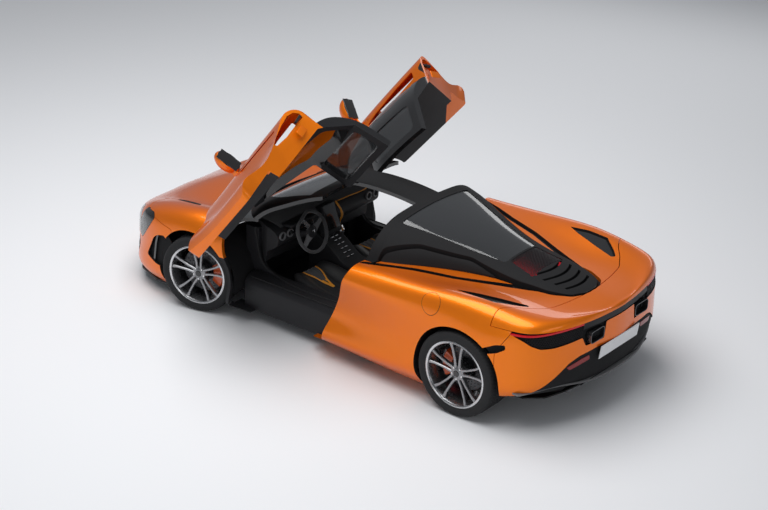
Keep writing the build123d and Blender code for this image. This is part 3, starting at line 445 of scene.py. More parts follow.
# %% Section tables
# Each row: x, then (y, z) of the underside's edge, rocker, waist, crease, shoulder, crest and valley, and the
# height on the centre line, in millimetres.
BODY = [
    (2270, (60, 250), (90, 270), (95, 310), (95, 350), (90, 390), (70, 420), (40, 430), 432),
    (2255, (200, 180), (260, 215), (265, 310), (262, 380), (250, 430), (215, 468), (120, 480), 484),
    (2225, (330, 145), (400, 190), (405, 320), (400, 410), (385, 470), (340, 510), (200, 520), 525),
    (2160, (500, 116), (575, 180), (575, 335), (565, 450), (545, 520), (480, 556), (300, 560), 568),
    (2070, (640, 108), (712, 180), (705, 350), (695, 490), (670, 570), (590, 606), (400, 602), 612),
    (1950, (760, 106), (828, 185), (815, 370), (805, 540), (775, 622), (670, 662), (480, 648), 662),
    (1800, (840, 106), (900, 190), (895, 395), (885, 590), (850, 680), (720, 718), (510, 698), 714),
    (1640, (875, 106), (936, 195), (940, 415), (930, 620), (885, 724), (750, 764), (530, 738), 748),
    (1450, (890, 106), (950, 200), (958, 425), (950, 648), (905, 765), (765, 806), (550, 770), 778),
    (1225, (895, 106), (955, 200), (963, 425), (958, 665), (912, 790), (770, 838), (580, 795), 800),
    (1000, (880, 106), (945, 200), (950, 425), (945, 672), (900, 785), (780, 838), (620, 822), 826),
    (800, (855, 106), (925, 205), (912, 425), (935, 682), (915, 775), (810, 836), (690, 842), 848),
    (500, (825, 106), (905, 208), (868, 405), (930, 693), (932, 780), (850, 848), (740, 852), 855),
    (200, (818, 106), (903, 208), (850, 400), (934, 697), (944, 788), (866, 857), (750, 858), 860),
    (-100, (822, 108), (910, 210), (854, 402), (936, 700), (948, 796), (882, 864), (760, 868), 868),
    (-380, (840, 110), (925, 215), (880, 415), (938, 702), (952, 800), (886, 872), (770, 882), 882),
    (-800, (865, 112), (943, 222), (925, 435), (950, 705), (955, 800), (895, 888), (700, 893), 895),
    (-1150, (878, 116), (952, 240), (950, 450), (957, 705), (952, 812), (885, 915), (600, 888), 896),
    (-1445, (882, 125), (955, 258), (962, 465), (957, 705), (942, 815), (866, 932), (540, 884), 895),
    (-1700, (860, 160), (940, 295), (948, 485), (940, 715), (915, 820), (830, 925), (500, 878), 888),
    (-1880, (810, 215), (905, 330), (915, 520), (905, 735), (880, 832), (800, 908), (480, 876), 881),
    (-2000, (755, 265), (850, 358), (862, 545), (855, 755), (832, 842), (750, 898), (450, 872), 876),
    (-2100, (660, 300), (738, 385), (750, 560), (745, 770), (722, 848), (640, 890), (400, 868), 871),
    (-2180, (500, 318), (560, 395), (570, 570), (566, 775), (548, 848), (480, 880), (300, 864), 866),
    (-2235, (290, 330), (335, 402), (342, 572), (340, 775), (330, 842), (290, 868), (180, 860), 862),
    (-2258, (120, 345), (150, 410), (155, 572), (154, 770), (148, 832), (130, 852), (80, 856), 857),
    (-2266, (40, 380), (50, 430), (52, 572), (51, 760), (48, 815), (40, 838), (20, 842), 843),
]
SECTION_STEPS = (4, 6, 10, 12, 8, 9, 8, 10)
CREASE_AT = 3
# How sharp the side crease is along the car, as (x, share).
CREASE_SHARPNESS = [(2270, 0.0), (1700, 0.2), (1000, 0.6), (0, 0.8), (-1100, 0.7), (-1600, 0.35), (-2270, 0.1)]
# How far each row of knots moves inwards and up or down with the depth below the outer surface.
DEPTH_WAYS = [(1, 1), (1, 0.5), (1, 0), (1, 0), (1, 0.4), (0.5, -1), (0, -1)]


def section(row, depth):
    """One half of a section, from the middle of the underside to the middle of the top, as points (y, z)."""
    x, knots, crown = row[0], row[1:-1].reshape(-1, 2).copy(), row[-1]
    for i, (inward, upward) in enumerate(DEPTH_WAYS):
        knots[i, 0] = max(knots[i, 0] - inward * depth, 8.0 - i)
        knots[i, 1] += upward * depth if i < 2 else -abs(upward) * depth
    chain = np.vstack([knots, [[0.0, crown - depth]], knots[:-3:-1] * (-1, 1)])
    along = running(np.sqrt(step_lengths(chain)))
    stops = stations(along[:8], SECTION_STEPS[1:])
    soft = spline(along, chain, stops)
    split = stops < along[CREASE_AT]
    firm = np.vstack([spline(along[:CREASE_AT + 1], chain[:CREASE_AT + 1], stops[split]),
                      spline(along[CREASE_AT:], chain[CREASE_AT:], stops[~split])])
    share = np.interp(-x, [-a for a, _ in CREASE_SHARPNESS], [b for _, b in CREASE_SHARPNESS])
    curve = soft * (1 - share) + firm * share
    curve[-1, 0] = 0.0
    under = [(knots[0, 0] * k / SECTION_STEPS[0], knots[0, 1]) for k in range(SECTION_STEPS[0])]
    return np.vstack([under, curve])


# %% Rings along the body
STATION_GAP = 24.0
BODY_WAIST, CABIN_FOOT = 9, 1


def table_rows(table, column):
    """A table's rows at even stations, spaced by their x and the value in one column."""
    flat = np.array([[x, *(v for pair in pairs for v in pair), crown] for x, *pairs, crown in table], float)
    along = running(np.hypot(np.diff(flat[:, 0]), np.diff(flat[:, column])))
    return spline(along, flat, stations(along, [max(2, int(gap / STATION_GAP)) for gap in np.diff(along)]))


def whole_ring(x, half):
    """The ring about the car's middle whose left half is given as (y, z)."""
    return ring([*half, *(half[1:-1][::-1] * (-1, 1))], "x", x)


def body_rings(depth):
    for row in table_rows(BODY, BODY_WAIST):
        x = row[0]
        x -= depth * np.clip((x - 2100) / 170, 0, 1) - depth * np.clip((-2050 - x) / 200, 0, 1)
        yield whole_ring(x, section(row, depth))


print("body table:", len(BODY), "sections")

# %% [markdown]
# ## The canopy
# The cabin is a second form that is joined to the body. It could be part of the same sections, but with a table of its
# own its foot is free to cross the body's shoulder.

# %% The cabin's sections
# Each row: x, then (y, z) of the foot, the waist, the roof's edge and the roof, and the height on the centre line.


CABIN = [
    (1085, (60, 826), (45, 830), (30, 834), (15, 836), 837),
    (1040, (330, 832), (300, 842), (230, 852), (120, 858), 860),
    (960, (520, 838), (470, 862), (370, 884), (200, 900), 904),
    (860, (620, 842), (560, 890), (450, 930), (240, 952), 958),
    (700, (700, 848), (640, 925), (515, 990), (280, 1022), 1030),
    (500, (732, 852), (675, 960), (530, 1060), (300, 1092), 1100),
    (330, (742, 856), (685, 985), (525, 1112), (300, 1142), 1150),
    (150, (748, 860), (688, 1005), (510, 1144), (300, 1175), 1184),
    (-80, (746, 866), (682, 1015), (490, 1154), (290, 1186), 1196),
    (-300, (728, 876), (665, 1010), (485, 1142), (285, 1176), 1188),
    (-500, (690, 884), (625, 995), (462, 1110), (270, 1150), 1164),
    (-800, (545, 890), (500, 970), (385, 1050), (230, 1094), 1110),
    (-1100, (400, 893), (370, 945), (300, 990), (185, 1030), 1045),
    (-1400, (318, 892), (295, 920), (240, 945), (150, 970), 980),
    (-1650, (278, 888), (258, 902), (210, 915), (130, 930), 936),
    (-1850, (215, 878), (198, 885), (160, 892), (95, 899), 902),
    (-1960, (140, 870), (128, 873), (100, 877), (60, 881), 883),
    (-2000, (50, 866), (45, 868), (35, 870), (20, 872), 873),
]
CABIN_ROOT_Z = 700.0


def cabin_rings(depth):
    for row in table_rows(CABIN, CABIN_FOOT):
        x = row[0] - depth * np.clip((row[0] - 850) / 235, 0, 1) * 2
        knots = row[1:9].reshape(4, 2).copy()
        lean = min(depth, knots[0, 0] - 6, knots[2, 0] - 4)
        knots[:, 0] -= lean * np.array([1, 1, 0.7, 0.2])
        knots[:, 1] -= depth * np.array([0.33, 0.4, 0.8, 1.0])
        chain = np.vstack([knots, [[0, row[9] - depth]], knots[:-3:-1] * (-1, 1)])
        along = running(np.sqrt(step_lengths(chain)))
        curve = spline(along, chain, stations(along[:5], [8] * 4))
        curve[-1, 0] = 0.0
        yield whole_ring(x, np.vstack([[(0.0, CABIN_ROOT_Z), (curve[0, 0], CABIN_ROOT_Z)], curve]))


def envelope(name, depth, body_material=MATTE_BLACK, canopy_material=MATTE_BLACK):
    """The whole car's form, so many millimetres below its outer surface."""
    form = solid_of_rings(name, body_rings(depth), body_material)
    canopy = solid_of_rings(name + "_cabin", cabin_rings(depth), canopy_material)
    return combine(form, "UNION", canopy)


SKIN = 30.0
outer = envelope("outer_form", 0.0, PAINT, GLOSS_BLACK)
inner = envelope("inner_form", SKIN)
skin = combine(copy_of(outer, "skin"), "DIFFERENCE", inner, keep=(inner,))
print("outer form:", len(outer.data.polygons), "faces; skin:", len(skin.data.polygons))

# %% [markdown]
# ## Cutting the panels
# A panel is what its outline takes of the skin. Straight cutters do this cleanly, each set back by half of the shut
# line, so two neighbours leave the same narrow gap between them. A small bevel then rounds every pressed edge.

# %% Outlines of the panels
GAP = 4.0
DOOR_SIDE = [(905, 1010), (905, 800), (902, 585), (845, 465), (818, 327), (838, 215), (876, 130), (-100, 130),
             (-130, 245), (-250, 520), (-400, 880), (-430, 1250), (300, 1250)]
DOOR_SIDE_INNER = [(905, 1010), (905, 800), (895, 585), (835, 465), (808, 327), (828, 215), (866, 130), (-30, 130),
                   (-62, 245), (-210, 520), (-400, 880), (-430, 1250), (300, 1250)]
SPINE_Y = 145
DOOR_PLAN = [(915, 1200), (915, 735), (850, 655), (560, 590), (230, 485), (230, SPINE_Y), (-440, SPINE_Y),
             (-440, 1200)]
DECK_EDGE = [(-480, 735), (-500, 640), (-731, 475), (-1108, 320), (-1541, 290), (-1806, 245), (-1930, 175),
             (-1992, 60)]
WING_EDGE = [(-2400, 1000), (-1716, 1000), (-1716, 800), (-1768, 700), (-1850, 600), (-1930, 470), (-1966, 280),
             (-1996, 80)]
BONNET_EDGE = [(1100, 560), (1300, 600), (1700, 605), (1925, 548)]
# How far cutters reach: along the car at the nose, out from the car's flank, and along the car at the tail.
NOSE, FLANK, TAIL = (1650, 2300), (770, 1100), (-2400, -1800)
FRONT_WHEEL_AT, FRONT_ARCH, FRONT_HOUSE, FRONT_LIP_Y = (1225, 327), 372, 400, 900
REAR_WHEEL_AT, REAR_ARCH = (-1445, 345), 384
WHEEL_HOUSE_Y = 515
BULKHEAD_X = -480
FAR = 3000
CHASSIS = "chassis"


# %% [markdown]
# ## Cutters
# The same few spaces are taken out of many panels: the wheels', the doors' and the inside of an edge seen from above.
# One function for each keeps neighbouring panels true to each other.

# %% Cutters
def both_sides(edge):
    return list(edge) + [(x, -y) for x, y in reversed(edge)]


def plan_cutter(edge, gap, low, high, radius=30, material=PAINT):
    """The space inside an edge seen from above, on both sides of the car."""
    return prism(round_corners(inset(both_sides(edge), gap), radius), "z", low, high, material)


def box_cutter(x, y, z, material=None):
    return prism([(x[0], y[0]), (x[1], y[0]), (x[1], y[1]), (x[0], y[1])], "z", z[0], z[1], material)


def wells():
    """The spaces of the four wheels."""
    spaces = ((FRONT_WHEEL_AT, FRONT_ARCH, 1200), (REAR_WHEEL_AT, REAR_ARCH, 1200),
              (FRONT_WHEEL_AT, FRONT_HOUSE, FRONT_LIP_Y))
    return [prism(circle(centre, radius), "y", low, high, MATTE_BLACK) for centre, radius, reach in spaces
            for low, high in ((WHEEL_HOUSE_Y, reach), (-reach, -WHEEL_HOUSE_Y))]


def door_zone(gap):
    """The space of the closed left door."""
    levels = ((1200, DOOR_SIDE), (905, DOOR_SIDE), (700, DOOR_SIDE_INNER), (100, DOOR_SIDE_INNER))
    zone = solid_of_rings("door_zone", [ring(round_corners(inset(outline, gap), 45), "y", y)
                                        for y, outline in levels], PAINT)
    return combine(zone, "INTERSECT", prism(round_corners(inset(DOOR_PLAN, gap), 30), "z", 0, FAR, PAINT))


# %% [markdown]
# ## Edges and hand-over
# A real panel's edge is rolled and catches a thin highlight, so every cut edge gets a small bevel. Then the piece is
# given to the body that it rides on, and the solids that it stands for are hidden.

# %% Finishing a piece
def repaint(thing, old, new):
    for i, material in enumerate(thing.data.materials):
        if material == old:
            thing.data.materials[i] = new
    return thing


def repaint_beyond(thing, planes, old, new):
    """Changes the finish of the faces that lie beyond every plane, given as (point, normal) in metres."""
    edit = bmesh.new()
    edit.from_mesh(thing.data)
    for point, normal in planes:
        geometry = edit.verts[:] + edit.edges[:] + edit.faces[:]
        bmesh.ops.bisect_plane(edit, geom=geometry, plane_co=point, plane_no=normal)
    if new not in list(thing.data.materials):
        thing.data.materials.append(new)
    materials = list(thing.data.materials)
    for face in edit.faces:
        centre = face.calc_center_median()
        beyond = all((centre - Vector(p)).dot(Vector(n)) > 0 for p, n in planes)
        if beyond and materials[face.material_index] == old:
            face.material_index = materials.index(new)
    edit.to_mesh(thing.data)
    edit.free()


def finish(thing, body, slot_name, *nodes, bevel=2.0, angle=32):
    """Rounds the edges of a piece, shades it and hands it to the frame."""
    edit = bmesh.new()
    edit.from_mesh(thing.data)
    bmesh.ops.remove_doubles(edit, verts=edit.verts, dist=0.0002)
    bmesh.ops.dissolve_degenerate(edit, edges=edit.edges, dist=0.0001)
    edit.to_mesh(thing.data)
    edit.free()
    thing.data.polygons.foreach_set("use_smooth", [True] * len(thing.data.polygons))
    thing.data.set_sharp_from_angle(angle=math.radians(angle))
    if bevel:
        modifier = thing.modifiers.new("edges", "BEVEL")
        modifier.width = bevel * MM
        modifier.segments = 2
        modifier.limit_method = "ANGLE"
        modifier.angle_limit = math.radians(angle + 8)
        modifier.harden_normals = True
        modifier.use_clamp_overlap = True
    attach(thing, body)
    if nodes:
        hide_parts(*nodes)


left_zone = door_zone(-GAP / 2)
shared = (left_zone, mirrored(left_zone, "door_zone_right"))
print("door zone faces:", len(left_zone.data.polygons))

# %% [markdown]
# ## Front panels
# The bonnet, two fenders and the bumper meet in one smooth nose. They could be drawn apart, but cut from one skin
# they keep its highlights, and the lamps and intakes are then straight cuts through all of them.

# %% Front: bonnet, fenders and bumper
bonnet = combine(copy_of(skin, "bonnet_panel"), "INTERSECT", plan_cutter(BONNET_EDGE, GAP / 2, 350, 1000))
finish(bonnet, "bonnet", "body_paint", "bonnet")

FENDER_PLAN = [(690, 1200), (690, 737), (913, 737), (1083, 560), (1925, 540), (1925, 1200)]
BUMPER_SIDE = [(1454, -10), (1454, 648), (1800, 690), (1925, 690), (1925, 1000), (2600, 1000), (2600, -10)]
HEADLAMP = [(640, 600), (700, 640), (800, 615), (850, 520), (840, 425), (790, 440), (745, 520), (660, 570)]
INTAKE = [(430, 175), (800, 175), (835, 330), (800, 420), (640, 400), (450, 300)]
# The same lamp and the corner intake, as they reach round to the side, as (x, z).
LAMP_SIDE = [(1862, 684), (1712, 706), (1680, 676), (1736, 592), (1850, 455), (1892, 420), (1930, 440), (1925, 560),
             (1900, 640)]
INTAKE_SIDE = [(1680, 508), (1625, 548), (1540, 570), (1480, 500), (1540, 327), (1570, 284), (1640, 286), (1772, 326)]


def lamp_spaces(gap):
    spaces = []
    for outline, direction, reach in ((HEADLAMP, "x", NOSE), (LAMP_SIDE, "y", FLANK)):
        spaces += with_twin(prism(round_corners(inset(outline, gap), 30), direction, *reach, GLOSS_BLACK))
    return spaces


def across_cutter(outline, gap, radius):
    """The space inside an outline seen from the side, right across the car."""
    return prism(round_corners(inset(outline, gap), radius), "y", -FAR, FAR, PAINT)


for side, name in ((1, "fender_left"), (-1, "fender_right")):
    outline = [(x, y * side) for x, y in FENDER_PLAN]
    panel = combine(copy_of(skin, name), "INTERSECT", prism(inset(outline, GAP / 2), "z", 90, 1000, PAINT))
    combine(panel, "DIFFERENCE", *shared, plan_cutter(BONNET_EDGE, -GAP / 2, 350, 1000),
            across_cutter(BUMPER_SIDE, -GAP / 2, 20), *lamp_spaces(0), *wells(), keep=shared)
    repaint_beyond(panel, (((0.96, 0, 0), (-1, 0, 0)), ((0, 0, 0.56), (0, 0, -1))), PAINT, SATIN_BLACK)
    finish(panel, CHASSIS, "body_paint", "front_fenders")

bumper = combine(copy_of(skin, "front_bumper_panel"), "INTERSECT", across_cutter(BUMPER_SIDE, GAP / 2, 20))
intakes = with_twin(prism(round_corners(INTAKE, 30), "x", 1650, 2400, MATTE_BLACK))
side_intakes = with_twin(prism(round_corners(INTAKE_SIDE, 24), "y", 800, 1100, GLOSS_BLACK))
combine(bumper, "DIFFERENCE", plan_cutter(BONNET_EDGE, -GAP / 2, 350, 1000), *lamp_spaces(0), *wells(),
        *reversed(intakes), *reversed(side_intakes), prism(circle((330, 225), 22, 32), "x", 2040, 2400, MATTE_BLACK))
finish(bumper, CHASSIS, "body_paint", "front_bumper")
print("front panels cut")

# %% [markdown]
# ## Rear panels
# Behind the doors come the wide quarter panels, the hinged wing between them, the bumper, and the black cover over
# the engine, which stands in a channel. The channel is the space left between two offsets of one edge.

# %% Rear: quarter panels, wing, bumper, engine cover and roof
CHANNEL = 26.0
REAR_BUMPER_SIDE = [(-1780, -10), (-1780, 640), (-1880, 800), (-1884, 826), (-2600, 826), (-2600, -10)]
ROOF_EDGE = [(BULKHEAD_X, 735), (913, 735), (1083, 560)]


def quarter(side, name):
    low, high = sorted((side * 100, side * 1300))
    part = combine(copy_of(skin, name), "INTERSECT", box_cutter((-2300, 20), (low, high), (90, 1200), PAINT))
    combine(part, "DIFFERENCE", *shared, box_cutter((BULKHEAD_X - GAP / 2, 1100), (-738, 738), (780, 1300), PAINT),
            plan_cutter(DECK_EDGE, -CHANNEL, 700, 1300), plan_cutter(WING_EDGE, -GAP / 2, 826, 1100),
            across_cutter(REAR_BUMPER_SIDE, -GAP / 2, 25), *wells(),
            box_cutter((-2300, 20), (-600, 600), (0, 400), MATTE_BLACK), keep=shared)
    return repaint(part, GLOSS_BLACK, PAINT)


quarters = {side: quarter(side, name) for side, name in ((1, "quarter_left"), (-1, "quarter_right"))}
deck = combine(copy_of(skin, "rear_deck_panel"), "INTERSECT", plan_cutter(WING_EDGE, GAP / 2 + 2, 830, 1100))
combine(deck, "DIFFERENCE", plan_cutter(DECK_EDGE, -CHANNEL * 0.5, 700, 1300))
repaint(deck, GLOSS_BLACK, PAINT)
engine_cover = combine(copy_of(skin, "engine_cover_panel"), "INTERSECT",
                       plan_cutter(DECK_EDGE, GAP / 2, 700, 1300, material=GLOSS_BLACK))
repaint(engine_cover, PAINT, GLOSS_BLACK)
rear_bumper = combine(copy_of(skin, "rear_bumper_panel"), "INTERSECT", across_cutter(REAR_BUMPER_SIDE, GAP / 2, 25))
combine(rear_bumper, "DIFFERENCE", *wells())
roof = combine(copy_of(skin, "roof_frame_panel"), "INTERSECT",
               prism(both_sides(ROOF_EDGE), "z", 780, 1300, GLOSS_BLACK))
combine(roof, "DIFFERENCE", *shared, keep=shared)
repaint(roof, PAINT, GLOSS_BLACK)
print("rear panels cut")

# %% [markdown]
# ## Doors
# Each door is made shut, from the body form inside its own outline, then turned up about its slanted hinge line. The
# right one is the left one mirrored.

# %% Door shells, glass and trim
HINGE_LOW, HINGE_HIGH = Vector((0.981, 0.686, 0.753)), Vector((0.207, 0.153, 1.164))
DOOR_OPEN = math.radians(79.4)
INTERIOR = [(1010, 690, 430, 905, 925), (960, 690, 430, 905, 925), (700, 715, 520, 985, 1010),
            (400, 745, 520, 1100, 1124), (200, 750, 500, 1148, 1170), (-100, 745, 480, 1166, 1196),
            (-400, 720, 500, 1128, 1180), (-480, 700, 490, 1120, 1172)]
WINDOW = [(790, 878), (560, 940), (230, 1105), (-100, 1126), (-350, 1085), (-335, 902), (0, 888)]
ROOF_PANE = [(180, 200), (180, 440), (-350, 430), (-350, 200)]
LINING = 42.0

swing = (Matrix.Translation(HINGE_LOW) @ Matrix.Rotation(-DOOR_OPEN, 4, HINGE_HIGH - HINGE_LOW)
         @ Matrix.Translation(-HINGE_LOW))


def interior_side(depth):
    """The left half of the cabin's space; depth is how far it stays inside the canopy."""
    rings = []
    for x, waist, edge, roof_z, crown in INTERIOR:
        outline = [(-10, 60), (795, 60), (795, 400), (705, 420), (waist - depth, 850), (edge - depth, roof_z - depth),
                   (-10, crown - depth)]
        rings.append(ring(outline, "x", x))
    return solid_of_rings("interior_side", rings, TRIM)


# The air channel behind the door's outer blade, as (y, z) at the rear end, and how far it moves out along the car.
CHANNEL_RING = [(818, 850), (828, 770), (832, 669), (854, 570), (878, 560), (896, 600), (916, 705), (922, 785),
                (900, 832), (858, 856)]
CHANNEL_SHIFT = [(-520, 8), (-274, 2), (-100, -4), (200, -8), (420, -14)]
SLOT_TOP = [(-262, 796), (-262, 858), (0, 852), (300, 826), (420, 806), (420, 792), (0, 786)]
SLOT_SIDE = [(850, 790), (866, 796), (985, 640), (970, 630)]


def air_channel():
    rings = [ring([(y + shift, z) for y, z in CHANNEL_RING], "x", x) for x, shift in CHANNEL_SHIFT]
    return (solid_of_rings("air_channel", rings, PAINT), prism(round_corners(SLOT_TOP, 20), "z", 780, 960, PAINT),
            prism(SLOT_SIDE, "x", -230, 380, PAINT))


# %% [markdown]
# ## Door shell
# The shell is what is left of the body inside the door's outline once the cabin's space, both windows and the air
# channel are taken out. The panes are cut from a thin shell a little below the surface.

# %% The door's shell and its two panes
glass_skin = combine(envelope("glass_skin", 8, DARK_GLASS, DARK_GLASS), "DIFFERENCE", envelope("glass_inside", 14))
repaint(glass_skin, MATTE_BLACK, DARK_GLASS)


def window_space(gap, material):
    return prism(round_corners(inset(WINDOW, gap), 45), "y", 250, 1200, material)


def pane_space(gap, material):
    return prism(round_corners(inset(ROOF_PANE, gap), 50), "z", 900, 1400, material)


zone = door_zone(GAP / 2)
shell = combine(copy_of(outer, "door_shell"), "INTERSECT", zone, keep=(zone,))
combine(shell, "DIFFERENCE", interior_side(LINING), window_space(0, GLOSS_BLACK), pane_space(0, GLOSS_BLACK),
        *air_channel(), prism(circle(FRONT_WHEEL_AT, FRONT_HOUSE + 14), "y", 500, 935, MATTE_BLACK))
repaint_beyond(shell, (((0, 0, 0.882), (0, 0, 1)),), PAINT, GLOSS_BLACK)
repaint_beyond(shell, (((0.25, 0, 0.13), (-0.59, 0, -0.81)), ((0, 0.78, 0), (0, 1, 0))), TRIM, PAINT)
window_glass = combine(copy_of(glass_skin, "door_window"), "INTERSECT", window_space(-10, DARK_GLASS))
combine(window_glass, "INTERSECT", zone, keep=(zone,))
roof_glass = combine(copy_of(glass_skin, "door_roof_glass"), "INTERSECT", pane_space(-10, DARK_GLASS))


# %% [markdown]
# ## Small parts
# Mirrors, latches and switches are boxes with rounded edges and flattened balls. Pieces that belong together become
# one mesh, in which each keeps its finish.

# %% Rounded boxes, ellipsoids and joined pieces
def put_at(at, *turns):
    """The move that makes the turns, the last one first, and then goes to a point in millimetres."""
    move = Matrix.Translation(Vector(at) * MM)
    for turn in turns:
        move = move @ turn
    return move


def piece_of(edit, name, material, place):
    mesh = bpy.data.meshes.new(name)
    edit.to_mesh(mesh)
    edit.free()
    mesh.materials.append(material)
    mesh.transform(place)
    return add_object(name, mesh)


def soft_box(name, at, size, material, radius, *turns):
    """A box with rounded edges, in millimetres."""
    edit = bmesh.new()
    bmesh.ops.create_cube(edit, size=1.0)
    bmesh.ops.scale(edit, vec=[v * MM for v in size], verts=edit.verts)
    bmesh.ops.bevel(edit, geom=edit.edges[:], offset=min(radius, min(size) * 0.45) * MM, segments=3, profile=0.6,
                    affect="EDGES")
    return piece_of(edit, name, material, put_at(at, *turns))


def ellipsoid(name, at, half, material):
    edit = bmesh.new()
    bmesh.ops.create_uvsphere(edit, u_segments=32, v_segments=20, radius=1.0)
    bmesh.ops.scale(edit, vec=[v * MM for v in half], verts=edit.verts)
    return piece_of(edit, name, material, put_at(at))


def joined(things, name):
    """One mesh from several, each keeping its own material."""
    first = things[0]
    with bpy.context.temp_override(active_object=first, selected_editable_objects=things, selected_objects=things,
                                   object=first):
        bpy.ops.object.join()
    first.name = first.data.name = name
    return first


def fit(things, name, slot_name, *nodes, bevel=0):
    """Joins pieces and finishes them as one piece of the chassis."""
    finish(joined(things, name), CHASSIS, slot_name, *nodes, bevel=bevel)


# %% [markdown]
# ## Bands
# Light strips, grille backs and lids follow the body's curve. Each is cut from a thin shell about the surface, since
# a flat piece bent by hand would not lie true on it.

# %% Bands on the body's surface
band_forms = {}


def band_form(out, depth):
    """A thin shell about the body's surface, from so far outside it to so far inside it."""
    if (out, depth) not in band_forms:
        band_forms[out, depth] = combine(envelope("band_form", -out), "DIFFERENCE", envelope("band_inside", depth))
    return band_forms[out, depth]


def one_finish(thing, material):
    """Gives every face of a piece the same finish."""
    thing.data.materials.clear()
    thing.data.materials.append(material)
    for polygon in thing.data.polygons:
        polygon.material_index = 0
    return thing


def band(name, outline, direction, low, high, material, out, depth):
    """A strip that lies on the body's surface where the outline falls, and stands out from it by so much."""
    strip = combine(copy_of(band_form(out, depth), name), "INTERSECT", prism(outline, direction, low, high, material))
    return one_finish(strip, material)


def bands(name, outline, direction, *rest):
    """The same strip on the left and on the right."""
    other = [(-u, v) if direction == "x" else (u, -v) for u, v in outline]
    return [band(name, edge, direction, *rest) for edge in (outline, other)]


# %% [markdown]
# ## Mirrors, latches and the raised doors
# The mirror stands on a stalk on the door, so it goes up with it. The left door's pieces are turned about the hinge
# line, and each is mirrored for the right door.

# %% Mirror and latch, and both doors raised
MIRROR_AT = (575, 1049, 874)
STALK = ((-26, -7), (26, -7), (34, 0), (26, 7), (-26, 7), (-34, 0))
mirror_housing = combine(ellipsoid("mirror_housing", MIRROR_AT, (78, 118, 66), PAINT), "DIFFERENCE",
                         box_cutter((300, 541), (800, 1300), (700, 1000), GLOSS_BLACK))
mirror_face = soft_box("mirror_face", (540, 1049, 872), (8, 196, 104), GLOSS_BLACK, 24)
mirror_stalk = solid_of_rings("mirror_stalk", [ring([(MIRROR_AT[0] + dx, z + dz) for dx, dz in STALK], "y", y)
                                               for y, z in ((880, 800), (945, 828), (990, 852))], PAINT)
door_link = soft_box("door_link", (-372, 846, 812), (26, 20, 92), SATIN_BLACK, 4)
latch = soft_box("door_latch", (-366, 770, 740), (16, 40, 60), SATIN_BLACK, 5)
latch_plate = soft_box("door_latch_plate", (-372, 770, 740), (6, 60, 92), PAINT, 3)
DOOR_PIECES = ((shell, "body_paint", "shell"), (window_glass, "tinted_glass", "glass"),
               (roof_glass, "tinted_glass", "glass"), (mirror_housing, "body_paint", "mirror"),
               (mirror_face, "gloss_black", ""), (mirror_stalk, "body_paint", ""), (door_link, "black_composite", ""),
               (latch, "black_composite", ""), (latch_plate, "body_paint", ""))
for piece, slot_name, node in DOOR_PIECES:
    piece.data.transform(swing)
    twin = mirrored(piece, piece.name + "_right")
    piece.name = piece.data.name = piece.name + "_left"
    for thing, hand in ((piece, "left"), (twin, "right")):
        finish(thing, f"door_{hand}", slot_name, *([f"door_{hand}_{node}"] if node else []))
print("doors raised")

# %% [markdown]
# ## Glass, engine cover and the last panels
# The windscreen and the engine cover's glass are cut from one thin shell that lies just under the body's surface.

# %% Windscreen, rear glass, slats and vents
SCREEN_HALF = [(1035, 150), (900, 385), (700, 478), (400, 480), (368, 480)]
REAR_GLASS_HALF = [(-505, 430), (-800, 338), (-1200, 240), (-1345, 205)]
MESH_HALF = [(-1362, 170), (-1590, 196)]
SLATS_AT, SLAT_WIDTH, SLAT_BEND = (-1625, -1715, -1800, -1880), 24, 0.0016
VENT_PLAN = [(-1285, 752), (-1450, 768), (-1640, 752), (-1662, 728), (-1765, 645), (-1826, 580), (-1800, 558),
             (-1600, 622), (-1400, 696)]
DECK_SLIT = [(-400, 812), (-600, 738), (-810, 650), (-1100, 556), (-1400, 420), (-1640, 318), (-1720, 280),
             (-1690, 262), (-1573, 282), (-1380, 372), (-1103, 504), (-810, 598), (-600, 690), (-408, 762)]
SIDE_VENT = [(-1663, 640), (-1700, 604), (-1800, 640), (-1862, 682), (-1856, 716), (-1780, 700)]
TAIL_OPENING = [(893, 828), (886, 795), (835, 735), (781, 704), (690, 697), (560, 705), (440, 716), (405, 640),
                (205, 640), (186, 772)]
UNDER_EDGE = [(1000, 200), (905, 285), (800, 352), (703, 425), (554, 540), (460, 573), (281, 590)]
TAIL_OPENING += [(-y, z) for y, z in reversed(TAIL_OPENING)]
UNDER_EDGE += [(-y, z) for y, z in reversed(UNDER_EDGE)] + [(-1000, 0), (1000, 0)]


def glass_cutter(edge, gap=0.0, radius=35):
    return plan_cutter(edge, gap, 800, 1400, radius, GLOSS_BLACK)


def slat_gap(at):
    """A curved slit across the engine cover, bent forward at its ends."""
    half = 0.86 * np.interp(-at, [1550, 1880], [250, 175])
    ys = np.linspace(-half, half, 13)
    return ([(at + SLAT_BEND * y * y, y) for y in ys]
            + [(at - SLAT_WIDTH + SLAT_BEND * y * y, y) for y in ys[::-1]])


